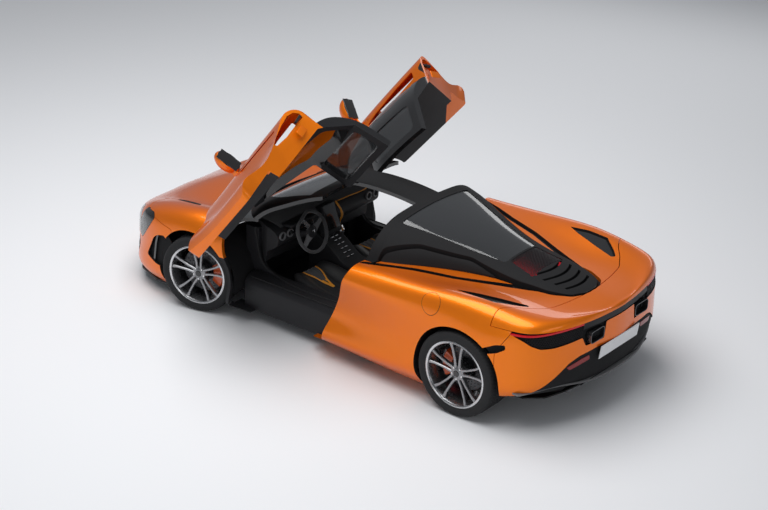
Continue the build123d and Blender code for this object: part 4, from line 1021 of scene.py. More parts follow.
combine(roof, "DIFFERENCE", glass_cutter(SCREEN_HALF, 0, 60))
combine(engine_cover, "DIFFERENCE", glass_cutter(REAR_GLASS_HALF), glass_cutter(MESH_HALF, 0, 15),
        *(prism(slat_gap(at), "z", 800, 1100, MATTE_BLACK) for at in SLATS_AT))
windscreen = combine(copy_of(glass_skin, "windscreen_glass"), "INTERSECT", glass_cutter(SCREEN_HALF, -12, 60))
rear_glass = combine(copy_of(glass_skin, "rear_glass"), "INTERSECT", glass_cutter(REAR_GLASS_HALF, -10))
vent = prism(round_corners(VENT_PLAN, 12), "z", 800, 1100, MATTE_BLACK)
slit = prism(round_corners(DECK_SLIT, 25), "z", 780, 1100, MATTE_BLACK)
side_vent = prism(round_corners(SIDE_VENT, 12), "y", 700, 1200, MATTE_BLACK)
for side, panel in quarters.items():
    cutters = [copy_of(c, "cutter") if side > 0 else mirrored(c, "cutter") for c in (vent, slit, side_vent)]
    combine(panel, "DIFFERENCE", *cutters)
    finish(panel, CHASSIS, "body_paint", "quarter_panels")
combine(deck, "DIFFERENCE", mirrored(slit, "cutter"), slit)
combine(rear_bumper, "DIFFERENCE", prism(round_corners(TAIL_OPENING, 14), "x", *TAIL, MATTE_BLACK),
        prism(round_corners(UNDER_EDGE, 20), "x", -2400, -1700, MATTE_BLACK),
        mirrored(side_vent, "cutter"), side_vent)
drop(vent)
for thing, body, slot_name, node, bevel in (
        (deck, "rear_wing", "body_paint", "rear_wing", 2), (rear_bumper, CHASSIS, "body_paint", "rear_bumper", 2),
        (engine_cover, CHASSIS, "gloss_black", "engine_cover", 2), (roof, CHASSIS, "gloss_black", "roof_frame", 2),
        (windscreen, CHASSIS, "tinted_glass", "windscreen", 0),
        (rear_glass, CHASSIS, "tinted_glass", "rear_screen", 0)):
    finish(thing, body, slot_name, node, bevel=bevel)
print("glass set")

# %% [markdown]
# ## Lining
# Behind its grilles and gaps a real car is dark and full of parts, much of it in deep shade. A thin black shell below
# the skin closes the view there; its black is partly the parts' own dark and partly painted shade, and it costs far
# less than those parts would.

# %% The dark lining under the panels
lining = combine(envelope("body_lining", 33), "DIFFERENCE", envelope("lining_inside", 40))
combine(lining, "DIFFERENCE", *wells(), plan_cutter(BONNET_EDGE, -25, 300, 1000),
        box_cutter((-478, 1060), (-1100, 1100), (0, 1300)), glass_cutter(REAR_GLASS_HALF, -12), *lamp_spaces(-10),
        box_cutter((-2300, 1480), (-1100, 1100), (0, 420)))
combine(lining, "DIFFERENCE", plan_cutter(WING_EDGE, 0, 790, 1100), glass_cutter(MESH_HALF, -12))
finish(lining, CHASSIS, "black_composite", bevel=0)
print("lining:", len(lining.data.polygons), "faces")

# %% [markdown]
# ## Tail
# The tail is dark between the rear wing's edge and the bumper: a thin red light strip on each side, a honeycomb of
# small cells under it, two tall outlets, and the plate between two reflectors over the diffuser.

# %% Light strips, dark panels and plate surround
STRIP = [(890, 800), (890, 810), (660, 824), (432, 829), (430, 817), (660, 812)]
BADGE_PANEL = [(430, 827), (-430, 827), (-430, 778), (430, 778)]
REFLECTOR = [(569, 505), (540, 478), (345, 510), (350, 545), (430, 536)]
tail_back = band("tail_back", round_corners(inset(TAIL_OPENING, -6), 14), "x", *TAIL, MATTE_BLACK, -20, 32)
finish(tail_back, CHASSIS, "black_composite", bevel=0)
surround = band("plate_surround", inset(UNDER_EDGE, -3), "x", -2400, -1880, MATTE_BLACK, -10, 34)
combine(surround, "DIFFERENCE", box_cutter((-2500, -1500), (-1100, 1100), (0, 318)))
finish(surround, CHASSIS, "black_composite", bevel=0)
fit(bands("light_strip", STRIP, "x", *TAIL, RED_GLOW, 0.0, 14), "light_strips", "red_lens", "tail_lamps")
centre_panel = band("badge_panel", BADGE_PANEL, "x", -2400, -1900, SATIN_BLACK, -4, 22)
finish(centre_panel, CHASSIS, "gloss_black", bevel=0)
# The reflectors' faint red light is a painted glow.
fit(bands("reflector", round_corners(REFLECTOR, 10), "x", -2400, -1900, RED_DIM, -6, 16), "reflectors", "red_lens")
print("tail panels made")


# %% [markdown]
# ## Diffuser
# The floor rises behind the rear wheels and has thin fins along it. A grey lip runs along its rear edge.

# %% Diffuser
def tail_x(y):
    """How far back the lower tail reaches at a distance from the middle, in millimetres."""
    return -2262 + (abs(y) / 900) ** 2.2 * 300


LIP_SECTION = ((0, -6), (-8, 0), (0, 6), (50, 10), (50, -4))
DIFFUSER_FINS = (-540, -330, -115, 115, 330, 540)
# The diffuser's floor, from front to back: x, z and half width.
DIFFUSER_FLOOR = ((-1700, 150, 640), (-1850, 160, 640), (-2050, 235, 640), (-2170, 300, 560), (-2235, 326, 330))
edge_rings = []
for y in np.linspace(-890, 890, 61):
    x, z = tail_x(y) - 8, 324 + 36 * math.exp(-((abs(y) - 640) / 210) ** 2)
    edge_rings.append(ring([(x + dx, z + dz) for dx, dz in LIP_SECTION], "y", y))
finish(solid_of_rings("diffuser_lip", edge_rings, GREY_TRIM), CHASSIS, "black_composite", bevel=0)
fins = []
for y in DIFFUSER_FINS:
    back = tail_x(y)
    outline = [(-1850, 152), (back + 60, 262), (back + 14, 318), (back + 90, 330), (-1850, 190)]
    fins.append(prism(outline, "y", y - 5, y + 5, SATIN_BLACK, "fin"))
floor_rings = [ring([(-half, z), (half, z), (half, z + 10), (-half, z + 10)], "x", x) for x, z, half in DIFFUSER_FLOOR]
fit([solid_of_rings("diffuser_floor", floor_rings, MATTE_BLACK)] + fins, "diffuser_look", "black_composite", "diffuser")
print("diffuser made")


# %% [markdown]
# ## Outlets and plate
# Each oval outlet holds a smaller pipe. They are straight runs of one rounded outline, hollowed by the same outline
# moved inwards. The plate between them is blank.

# %% Outlets and plate
def outlet(name, y, z, half_y, half_z, x_back, depth):
    outline = round_corners([(y - half_y, z - half_z), (y + half_y, z - half_z), (y + half_y, z + half_z),
                             (y - half_y, z + half_z)], 34, 6)
    pipe = prism(outline, "x", x_back, x_back + depth, DARK_CHROME, name)
    return combine(pipe, "DIFFERENCE", prism(inset(outline, 7), "x", x_back - 10, x_back + depth - 8, MATTE_BLACK))


OUTLET_Y, OUTLET_Z = 300, 700
outlets = []
for side in (1, -1):
    outlets.append(outlet("outlet", side * OUTLET_Y, OUTLET_Z, 90, 50, -2258, 130))
    outlets.append(outlet("outlet_pipe", side * OUTLET_Y, OUTLET_Z, 60, 34, -2225, 110))
fit(outlets, "exhaust_outlets", "exhaust_metal", "exhaust_tips", bevel=1.5)
plate_tilt = Matrix.Rotation(math.radians(-8.7), 4, "Y")
plate = soft_box("plate_look", (-2262, 0, 538), (8, 520, 110), PLATE, 3, plate_tilt)
finish(plate, CHASSIS, "plate", "number_plate", bevel=0)
print("outlets and plate set")

# %% [markdown]
# ## Honeycomb
# The grilles are a net of six-sided cells. One flat picture of a net would lose its depth at a low angle, so Geometry
# Nodes sets one small ring of real wall on every point, and the points come from the body's surface.

# %% Honeycomb by Geometry Nodes
def honeycomb_nodes():
    """Sets one small six-sided ring on every point, turned to the point's own direction."""
    tree = bpy.data.node_groups.new("honeycomb", "GeometryNodeTree")
    sockets = {}
    for label, kind in (("Geometry", "Geometry"), ("Cell", "Float"), ("Wall", "Float"), ("Depth", "Float"),
                        ("Material", "Material")):
        socket = tree.interface.new_socket(label, in_out="INPUT", socket_type="NodeSocket" + kind)
        sockets[label] = socket.identifier
    tree.interface.new_socket("Geometry", in_out="OUTPUT", socket_type="NodeSocketGeometry")
    kinds = {"given": "NodeGroupInput", "result": "NodeGroupOutput", "hexagon": "GeometryNodeCurvePrimitiveCircle",
             "wall": "GeometryNodeCurvePrimitiveQuadrilateral", "cell": "GeometryNodeCurveToMesh",
             "facing": "GeometryNodeInputNamedAttribute", "aim": "FunctionNodeAlignRotationToVector",
             "place": "GeometryNodeInstanceOnPoints", "real": "GeometryNodeRealizeInstances",
             "paint": "GeometryNodeSetMaterial"}
    nodes = {name: tree.nodes.new(kind) for name, kind in kinds.items()}
    nodes["hexagon"].inputs["Resolution"].default_value = 6
    nodes["facing"].data_type = "FLOAT_VECTOR"
    nodes["facing"].inputs["Name"].default_value = "facing"
    nodes["aim"].axis = "Z"
    for source, output, target, entry in (
            ("given", "Cell", "hexagon", "Radius"), ("given", "Wall", "wall", "Width"),
            ("given", "Depth", "wall", "Height"), ("hexagon", "Curve", "cell", "Curve"),
            ("wall", "Curve", "cell", "Profile Curve"), ("facing", "Attribute", "aim", "Vector"),
            ("given", "Geometry", "place", "Points"), ("cell", "Mesh", "place", "Instance"),
            ("aim", "Rotation", "place", "Rotation"), ("place", "Instances", "real", "Geometry"),
            ("real", "Geometry", "paint", "Geometry"), ("given", "Material", "paint", "Material"),
            ("paint", "Geometry", "result", "Geometry")):
        tree.links.new(nodes[source].outputs[output], nodes[target].inputs[entry])
    return tree, sockets


def tree_of(thing):
    """A piece's surface, for casting rays at it."""
    points, faces = [v.co.copy() for v in thing.data.vertices], [p.vertices[:] for p in thing.data.polygons]
    return BVHTree.FromPolygons(points, faces)


HONEYCOMB, HONEYCOMB_INPUTS = honeycomb_nodes()
HEX_ROW, HEX_RADIUS = 0.866, 0.577
CELL_WALL, CELL_DEPTH = 2.2, 6.0
surface = tree_of(outer)
print("honeycomb nodes ready")


# %% [markdown]
# ## Cells on the surface
# The points stand in even rows, with every other row shifted by half a cell, as in a comb. A ray finds the surface
# under each point and gives the direction in which its cell faces.

# %% The grilles' cells
def within(point, outline):
    inside = False
    for (ax, ay), (bx, by) in zip(outline, outline[1:] + outline[:1]):
        if (ay > point[1]) != (by > point[1]) and point[0] < (bx - ax) * (point[1] - ay) / (by - ay) + ax:
            inside = not inside
    return inside


def honeycomb(name, outline, start, ray, pitch, sink, material):
    """Cells over an outline, set on the body's surface along a ray and sunk by a little."""
    low = [min(p[i] for p in outline) for i in (0, 1)]
    high = [max(p[i] for p in outline) for i in (0, 1)]
    points, normals = [], []
    row, v = 0, low[1]
    while v < high[1]:
        u = low[0] + (pitch / 2 if row % 2 else 0)
        while u < high[0]:
            if within((u, v), outline):
                hit, normal, *_ = surface.ray_cast(Vector(start(u, v)) * MM, Vector(ray))
                if hit:
                    points.append(hit - normal * sink * MM)
                    normals.append(normal)
            u += pitch
        v += pitch * HEX_ROW
        row += 1
    mesh = bpy.data.meshes.new(name)
    mesh.from_pydata(points, [], [])
    direction = mesh.attributes.new("facing", "FLOAT_VECTOR", "POINT")
    direction.data.foreach_set("vector", [c for n in normals for c in n])
    thing = add_object(name, mesh)
    modifier = thing.modifiers.new("honeycomb", "NODES")
    modifier.node_group = HONEYCOMB
    for label, value in (("Cell", pitch * HEX_RADIUS * MM), ("Wall", CELL_WALL * MM), ("Depth", CELL_DEPTH * MM),
                         ("Material", material)):
        modifier[HONEYCOMB_INPUTS[label]] = value
    made = evaluated_mesh(thing)
    thing.modifiers.clear()
    thing.data = made
    print(name, len(points), "cells,", len(made.polygons), "faces")
    return thing


LIGHT_MESH = [(875, 786), (832, 742), (781, 712), (690, 705), (560, 712), (446, 722), (436, 806), (660, 800),
              (872, 792)]
COVER_MESH = [(-1362, -165), (-1590, -190), (-1590, 190), (-1362, 165)]
cells = [honeycomb("tail_cells", [(y * side, z) for y, z in LIGHT_MESH], lambda y, z: (-2600, y, z), (1, 0, 0), 17.0,
                   8.0, SATIN_BLACK) for side in (1, -1)]
fit(cells, "tail_honeycomb", "black_composite")
cover_mesh = honeycomb("cover_honeycomb", COVER_MESH, lambda x, y: (x, y, 1500), (0, 0, -1), 13.0, 6.0, SATIN_BLACK)
finish(cover_mesh, CHASSIS, "black_composite", bevel=0)
# A red box that glows under the mesh: painted glow, since no lamp is there.
engine_glow = soft_box("engine_bay_glow_box", (-1432, -40, 880), (320, 500, 12), BAY_GLOW, 5)
finish(engine_glow, CHASSIS, "red_lens", bevel=0)

# %% [markdown]
# ## Fuel flap
# A round lid on the left haunch. It is cut from a thin shell of the surface, so it follows the haunch's curve.

# %% Fuel flap
FLAP_AT, FLAP_LEAN = (-1195, 936, 850), math.radians(-48)


def flap_disc(name, radius, material, out):
    """A round lid that lies on the haunch; its outline runs along the haunch's own lean."""
    cutter = prism(circle((0, 0), radius, 48), "z", -70, 60, material, "flap_cutter")
    cutter.data.transform(put_at(FLAP_AT, Matrix.Rotation(FLAP_LEAN, 4, "X")))
    return one_finish(combine(copy_of(band_form(out, 8), name), "INTERSECT", cutter), material)


flap_edge = flap_disc("fuel_flap_edge", 83, MATTE_BLACK, 0.4)
flap = flap_disc("fuel_flap", 80, PAINT, 1.4)
finish(flap_edge, CHASSIS, "black_composite", bevel=0)
finish(flap, CHASSIS, "body_paint", bevel=1)
print("tail made")

# %% [markdown]
# ## Wheels
# One wheel is built about its own axle from turned profiles and a loop of spokes, and is then set on each hub.

# %% Turned profiles and tyres
def loop_of_rings(name, rings, material):
    """A solid through rings of equally many points, closed to a loop."""
    count, faces = len(rings[0]), []
    for step in range(len(rings)):
        this, after = step * count, (step + 1) % len(rings) * count
        for i in range(count):
            j = (i + 1) % count
            faces.append((this + i, this + j, after + j, after + i))
    return piece_from(name, [point for points in rings for point in points], faces, material)


def turned_solid(name, profile, material, steps=96, tread=None):
    """A ring turned about the y axis from a closed (radius, y) profile; tread may change a radius by its angle."""
    rings = []
    for step in range(steps):
        angle = 2 * math.pi * step / steps
        reach = [(radius - (tread(step, radius, y) if tread else 0.0), y) for radius, y in profile]
        rings.append([Vector((r * math.cos(angle), y, r * math.sin(angle))) * MM for r, y in reach])
    return loop_of_rings(name, rings, material)


GROOVES = (-66, -23, 23, 66)


def tyre_profile(radius, width, seat):
    half = width / 2
    edge = [(seat + 3, half - 22), (seat + 10, half - 12), (seat + 30, half - 4), (radius - 38, half),
            (radius - 20, half - 4), (radius - 9, half - 12), (radius - 3.5, half - 22)]
    tread = []
    for y in reversed(GROOVES):
        centre = y * width / 245
        tread += [(radius, centre + 6), (radius - 7, centre + 4), (radius - 7, centre - 4), (radius, centre - 6)]
    other = [(r, -y) for r, y in reversed(edge)]
    return edge + tread + other + [(seat - 4, -half + 26), (seat - 4, half - 26)]


def make_tyre(radius, width, seat):
    def sipes(step, r, y):
        on_block = r > radius - 12 and abs(y) < width / 2 - 6
        return 5.5 if on_block and r > radius - 6.9 and (step + int(abs(y) / 24)) % 4 == 0 else 0.0
    return turned_solid("tyre", tyre_profile(radius, width, seat), RUBBER, 288, sipes)


print("tyre maker ready")

# %% [markdown]
# ## Rims
# A cast rim is turned where it is round and milled between its spokes. So the barrel, the bright lip and the hub are
# turned profiles here too, and five pairs of spokes are added as bars of changing section.

# %% Rims and spokes
SPOKE_PAIRS, BOLT_CIRCLE = 5, 47


def outwards(angle):
    """The direction away from the axle at an angle."""
    return Vector((math.cos(angle), 0, math.sin(angle)))


def make_rim(seat, width):
    half = width / 2
    barrel = turned_solid("rim_barrel", [
        (seat + 13, half - 10), (seat + 13, half - 16), (seat + 3, half - 26), (seat - 6, half - 60),
        (seat - 10, -half + 40), (seat + 2, -half + 24), (seat + 12, -half + 12), (seat + 8, -half + 8),
        (seat - 6, -half + 14), (seat - 20, -half + 40), (seat - 16, half - 64), (seat - 8, half - 34),
        (seat - 2, half - 12), (seat + 4, half - 7)], RIM_METAL, 96)
    lip = turned_solid("rim_lip", [
        (seat + 13.5, half - 9), (seat + 13, half - 13), (seat + 4, half - 10), (seat - 4, half - 14),
        (seat - 3, half - 10), (seat + 4, half - 6)], BRIGHT_METAL, 96)
    hub = turned_solid("hub", [
        (4, half - 34), (30, half - 34), (38, half - 38), (58, half - 46), (66, half - 60), (66, half - 96),
        (4, half - 96)], RIM_METAL, 48)
    cap = turned_solid("hub_cap", [
        (1, half - 29), (22, half - 29), (27, half - 33), (27, half - 40), (1, half - 40)], GLOSS_BLACK, 32)
    pieces = [barrel, lip, hub, cap]
    for pair in range(SPOKE_PAIRS):
        for side in (-1, 1):
            pieces.append(make_spoke(pair * 2 * math.pi / SPOKE_PAIRS + math.pi / 2, side, seat, half))
        angle = (pair + 0.5) * 2 * math.pi / SPOKE_PAIRS + math.pi / 2
        bolt = turned_solid("wheel_bolt", [(0.5, half - 36), (7, half - 36), (9, half - 39), (9, half - 52),
                                           (0.5, half - 52)], BRIGHT_METAL, 12)
        bolt.data.transform(put_at((BOLT_CIRCLE * math.cos(angle), 0, BOLT_CIRCLE * math.sin(angle))))
        pieces.append(bolt)
    return pieces


# Spoke stations: share of the way out, half width, front face below the lip, depth, angle from the pair's middle.
SPOKES = [(0.16, 13, 42, 46, 15.0), (0.45, 10, 36, 34, 11.5), (0.8, 10, 26, 30, 11.0), (1.0, 14, 20, 34, 12.5)]


def make_spoke(middle, side, seat, half):
    rings = []
    for share, wide, below, depth, degrees in SPOKES:
        reach = share * (seat - 4)
        angle = middle + side * math.radians(degrees if share > 0.3 else degrees * 1.7)
        out, across = outwards(angle), Vector((-math.sin(angle), 0, math.cos(angle)))
        face = half - below
        outline = [(-wide, face - 5), (-wide * 0.6, face), (wide * 0.6, face), (wide, face - 5),
                   (wide * 0.8, face - depth), (-wide * 0.8, face - depth)]
        rings.append([(out * reach + across * w + Vector((0, y, 0))) * MM for w, y in outline])
    return solid_of_rings("spoke", rings, RIM_METAL)


print("rim maker ready")

# %% [markdown]
# ## Brakes
# The disc is drilled with three rings of small holes and sits on a black bell. The caliper is a bar bent round it,
# drawn in sections along its arc.

# %% Discs and calipers
DISC_HOLES, HOLE_RADIUS = 24, 4.5
CALIPER_STEPS, CALIPER_ARC = 14, 66


def make_disc(radius):
    disc = turned_solid("disc", [(radius, -8), (radius, -34), (96, -34), (96, -8)], DISC_METAL, 96)
    holes = []
    for row, (share, turn) in enumerate(((0.62, 0.0), (0.74, 0.35), (0.86, 0.7))):
        for k in range(DISC_HOLES):
            centre = outwards((k + turn) * 2 * math.pi / DISC_HOLES) * radius * share
            outline = [(centre.x + x, centre.z + z) for x, z in circle((0, 0), HOLE_RADIUS, 8)]
            holes.append(prism(outline, "y", -40, 0, MATTE_BLACK))
    combine(disc, "DIFFERENCE", joined(holes, "disc_holes"))
    bell = turned_solid("disc_bell", [(100, -12), (100, -30), (70, -34), (66, 24), (80, 26), (86, -8)], SATIN_BLACK, 64)
    return [disc, bell]


def make_caliper(radius, faces_back):
    middle = math.pi if faces_back else 0.0
    rings = []
    for k in range(CALIPER_STEPS + 1):
        out = outwards(middle + math.radians(-CALIPER_ARC / 2 + CALIPER_ARC * k / CALIPER_STEPS))
        ease = 1.0 if 0 < k < CALIPER_STEPS else 0.9
        outline = [(112, 30), (radius + 8 * ease, 36 * ease), (radius + 20 * ease, 16), (radius + 22 * ease, -50),
                   (radius + 12 * ease, -62 * ease), (112, -58)]
        rings.append([(out * r + Vector((0, y, 0))) * MM for r, y in outline])
    return solid_of_rings("caliper", rings, CALIPER)


print("wheel makers ready")

# %% [markdown]
# ## Wheels on their hubs
# Each axle's wheel is made once and copied to the left and, mirrored, to the right. The front pair is turned with its
# knuckles.

# %% Set the wheels on their hubs
STEER = math.radians(14)
KINGPIN_Y = 762
# Axle, axle x, radius, width, bead seat, wheel centre y, disc radius.
AXLES = [("front", 1225, 327, 245, 241, 837, 185), ("rear", -1445, 345, 305, 254, 812, 178)]


def hub_places(axle_x, radius, centre_y, steered):
    """Where a wheel made about the origin goes, on the left and on the right."""
    for hand, side in (("left", 1), ("right", -1)):
        turn = Matrix.Rotation(STEER if steered else 0.0, 4, "Z")
        pivot = Vector((axle_x, side * KINGPIN_Y, radius)) * MM
        reach = Vector((0, side * (centre_y - KINGPIN_Y), 0)) * MM
        flip = Matrix.Diagonal((1, side, 1, 1))
        yield hand, side, Matrix.Translation(pivot) @ turn @ Matrix.Translation(reach) @ flip


def placed(thing, name, place, side):
    """A copy of a wheel's piece at its hub, mirrored on the right."""
    piece = copy_of(thing, name)
    piece.data.transform(place)
    if side < 0:
        piece.data.flip_normals()
    return piece


for axle, axle_x, radius, width, seat, centre_y, disc_radius in AXLES:
    steered = axle == "front"
    makers = (("tyre", [make_tyre(radius, width, seat)], "tyre"), ("rim", make_rim(seat, width), "wheel_metal"),
              ("disc", make_disc(disc_radius), "disc_steel"))
    for kind, pieces, slot_name in makers:
        whole = joined(pieces, f"{kind}_{axle}") if len(pieces) > 1 else pieces[0]
        for hand, side, place in hub_places(axle_x, radius, centre_y, steered):
            wheel = placed(whole, f"{kind}_{axle}_{hand}_look", place, side)
            finish(wheel, f"wheel_{axle}_{hand}", slot_name, f"{kind}_{axle}_{hand}", bevel=0, angle=35)
        drop(whole)
    caliper = make_caliper(disc_radius, steered)
    for hand, side, place in hub_places(axle_x, radius, centre_y, steered):
        piece = placed(caliper, f"caliper_{axle}_{hand}", place, side)
        finish(piece, f"knuckle_{hand}" if steered else CHASSIS, "suspension_metal", bevel=3)
    drop(caliper)
print("wheels set")

# %% [markdown]
# ## Wheel houses
# A dark arch over each wheel keeps the spray out of the body. It is a short tube, cut by the body's own form.

# %% Wheel houses
def wheel_house(centre, radius):
    low, high = WHEEL_HOUSE_Y + 2, 930
    house = prism(circle(centre, radius + 8), "y", low, high, MATTE_BLACK)
    combine(house, "DIFFERENCE", prism(circle(centre, radius + 4), "y", -FAR, FAR, MATTE_BLACK))
    combine(house, "INTERSECT", house_limit, keep=(house_limit,))
    return combine(house, "DIFFERENCE", box_cutter((-2300, 2300), (-1100, 1100), (-100, 250)))


house_limit = envelope("house_limit", 34)
houses = [wheel_house(FRONT_WHEEL_AT, FRONT_HOUSE), wheel_house(REAR_WHEEL_AT, REAR_ARCH)]
houses += [mirrored(house, "house_right") for house in houses]
fit(houses, "wheel_houses", "black_composite")
drop(house_limit)

# %% [markdown]
# ## Front end
# Each headlamp is a dark socket behind a smoked cover, with a pale lamp and a thin light line inside it.

# %% Headlamps
LIGHT_LINE = [(668, 612), (700, 622), (790, 598), (828, 520), (822, 470), (812, 516), (778, 586), (700, 608)]
SIDE_LIGHT = [(1838, 500), (1872, 452), (1876, 520), (1852, 585), (1838, 560)]
covers = bands("lamp_cover", round_corners(inset(HEADLAMP, 3), 26), "x", *NOSE, LAMP_BOWL, 1.0, 5)
bowls = bands("lamp_bowl", round_corners(HEADLAMP, 26), "x", *NOSE, MATTE_BLACK, -40, 46)
lights = bands("day_light", LIGHT_LINE, "x", *NOSE, PALE_LAMP, -8, 18)
projectors = []
for y, z in ((700, 585), (752, 560)):
    hit, normal, *_ = surface.ray_cast(Vector((3.0, y * MM, z * MM)), Vector((-1, 0, 0)))
    for side in (1, -1):
        at = (hit - normal * 0.030) / MM
        projectors.append(ellipsoid("projector", (at.x, at.y * side, at.z), (24, 20, 20), PALE_LAMP))
side_cover = band("lamp_cover", round_corners(inset(LAMP_SIDE, 3), 26), "y", *FLANK, LAMP_BOWL, 1.0, 5)
side_bowl = band("lamp_bowl", round_corners(LAMP_SIDE, 26), "y", 700, 1100, MATTE_BLACK, -40, 46)
side_lamp = band("day_light", SIDE_LIGHT, "y", 700, 1100, PALE_LAMP, -16, 24)
fit(covers + with_twin(side_cover), "headlamp_covers", "lamp_cover", "headlamps")
fit(bowls + with_twin(side_bowl), "headlamp_bowls", "black_composite")
fit(lights + with_twin(side_lamp) + projectors, "headlamp_lights", "lamp_cover")
print("headlamps made")

# %% [markdown]
# ## Intakes and vents
# The corner intakes hold flat fins and a blade, and the fenders and haunches carry flush black vents. All of them are
# bands of the surface, some sunk into it.

# %% Intakes and vents
INTAKE_FINS = (235, 290, 345)
CORNER_BLADE = [(1640, 560), (1622, 556), (1650, 455), (1668, 300), (1690, 300), (1672, 460)]
FENDER_VENT = [(1694, 618), (1600, 650), (1430, 692), (1368, 694), (1392, 654), (1560, 620), (1682, 602)]
fins = []
for z in INTAKE_FINS:
    outline = [(440, z), (815, z), (815, z + 8), (440, z + 8)]
    fins += with_twin(band("intake_fin", outline, "x", 1500, 2400, SATIN_BLACK, -8, 34))
fins += with_twin(band("corner_blade", CORNER_BLADE, "y", 800, 1100, GLOSS_BLACK, -12, 26))
corner_back = round_corners(inset(INTAKE_SIDE, -8), 24)
fins += with_twin(band("corner_back", corner_back, "y", 780, 1100, MATTE_BLACK, -34, 42))
fit(fins, "intake_fins", "black_composite")
fit(bands("fender_vent", FENDER_VENT, "z", 600, 1000, MATTE_BLACK, 0.8, 6), "fender_vents", "black_composite")
fit(bands("haunch_blade", inset(VENT_PLAN, 14), "z", 700, 1100, GLOSS_BLACK, -14, 20), "haunch_blades", "gloss_black")
print("front end made")

# %% [markdown]
# ## Cabin
# Padded seats with amber piping, a round-cornered dashboard, a central screen and a leaning console.

# %% Seats
# Along the seat: x, z, half width, height of the side bolsters.
SEAT_LINE = [(500, 352, 168, 6), (492, 384, 186, 12), (440, 388, 208, 22), (330, 352, 232, 38), (200, 316, 246, 54),
             (40, 290, 252, 66), (-120, 276, 254, 78), (-196, 304, 255, 92), (-246, 400, 255, 100),
             (-296, 560, 252, 92), (-346, 730, 236, 66), (-376, 830, 196, 34), (-392, 890, 150, 16),
             (-404, 912, 130, 6)]
SEAT_Y, SEAT_DEPTH = 360.0, 74.0


def seat_rings(centre_y):
    line = np.array(SEAT_LINE, float)
    along = running(np.hypot(np.diff(line[:, 0]), np.diff(line[:, 1])))
    stops = np.linspace(0, along[-1], 70)
    rows = spline(along, line, stops)
    tangents = np.gradient(rows[:, :2], axis=0)
    for (x, z, half, bolster), (tx, tz) in zip(rows, tangents):
        nx, nz = -tz / math.hypot(tx, tz), tx / math.hypot(tx, tz)
        if nz < 0 and abs(nz) > abs(nx) or nx < 0 and abs(nx) >= abs(nz):
            nx, nz = -nx, -nz
        outline = []
        for step in range(33):
            u = -1 + step / 16
            rise = np.clip((abs(u) - 0.42) / 0.34, 0, 1)
            rise = bolster * rise * rise * (3 - 2 * rise)
            fall = SEAT_DEPTH * 0.9 * max(0.0, (abs(u) - 0.86) / 0.14) ** 2
            tuft = 3.0 * math.cos(8 * math.pi * u) if abs(u) < 0.4 else 3.0
            outline.append((u * half, rise - fall + tuft - 3))
        for step in range(9):
            u = 0.94 - 1.88 * step / 8
            outline.append((u * half, -SEAT_DEPTH))
        yield [Vector((x + n * nx, centre_y + y, z + n * nz)) * MM for y, n in outline]


print("seat form ready")

# %% [markdown]
# ## Piping and patches
# Beads of amber leather follow the seams. They are drawn as seen from above and from the front, and rays carry them
# onto the seat, so that they lie on it whatever its form.

# %% Piping, and both seats
def tube(name, points, radius, material, sides=10):
    """A round bead along a smooth line through the points, in millimetres."""
    knots = np.array(points, float)
    along = running(step_lengths(knots))
    path = spline(along, knots, np.linspace(0, along[-1], max(8, int(along[-1] / 12))))
    rings = []
    for i, at in enumerate(path):
        ahead = Vector(path[min(i + 1, len(path) - 1)] - path[max(i - 1, 0)]).normalized()
        side = ahead.orthogonal().normalized() if i == 0 else (side - ahead * side.dot(ahead)).normalized()
        other = ahead.cross(side)
        rings.append([(Vector(at) + side * radius * math.cos(2 * math.pi * k / sides)
                       + other * radius * math.sin(2 * math.pi * k / sides)) * MM for k in range(sides)])
    return solid_of_rings(name, rings, material)


# The piping on the cushion, as (x, y from the seat's middle), and on the backrest, as (y, z).
CUSHION_PIPING = [(478, 78), (430, 72), (370, 52), (310, 30), (262, 16)]
BACKREST_PIPING = [(50, 420), (88, 520), (112, 640), (104, 760), (80, 820)]
PATCH = [(322, 34), (322, -34), (286, -26), (214, -12), (214, 12), (286, 26)]


def on_seat(tree, start, ray, lift):
    hit, normal, *_ = tree.ray_cast(Vector(start) * MM, Vector(ray))
    return tuple((hit + normal * lift * MM) / MM)


for hand, centre in (("left", SEAT_Y), ("right", -SEAT_Y)):
    seat = solid_of_rings(f"seat_{hand}_look", list(seat_rings(centre)), LEATHER)
    tree = tree_of(seat)
    beads = []
    for side in (1, -1):
        line = [on_seat(tree, (x, centre + side * y, 800), (0, 0, -1), 1.0) for x, y in CUSHION_PIPING]
        beads.append(tube("piping", line, 6.5, PIPING, 8))
        line = [on_seat(tree, (600, centre + side * y, z), (-1, 0, 0), 1.0) for y, z in BACKREST_PIPING]
        beads.append(tube("back_piping", line, 5.0, PIPING, 8))
    patch = [on_seat(tree, (x, centre + y, 800), (0, 0, -1), 3.0) for x, y in PATCH]
    patch_solid = solid_of_rings("seat_patch", [[Vector(p) * MM for p in patch],
                                                [(Vector(p) - Vector((0, 0, 6))) * MM for p in patch]], PIPING)
    seat.data.materials.append(SUEDE)
    for polygon in seat.data.polygons:
        x, y, z = polygon.center / MM
        if polygon.normal.z > 0.5 and x > 300 and abs(y - centre) < np.interp(x, (300, 480), (26, 76)):
            polygon.material_index = 1
    finish(seat, CHASSIS, "seat_leather", f"seat_{hand}", bevel=0, angle=50)
    fit(beads + [patch_solid], f"seat_piping_{hand}", "seat_leather")
print("seats made")

# %% [markdown]
# ## Dashboard
# One soft profile runs across the car and is cut back at its ends. The screens and vents are separate small parts, so
# they could be changed without touching it.

# %% Dashboard and screens
def leaned(angle):
    return Matrix.Rotation(angle, 4, "Y")


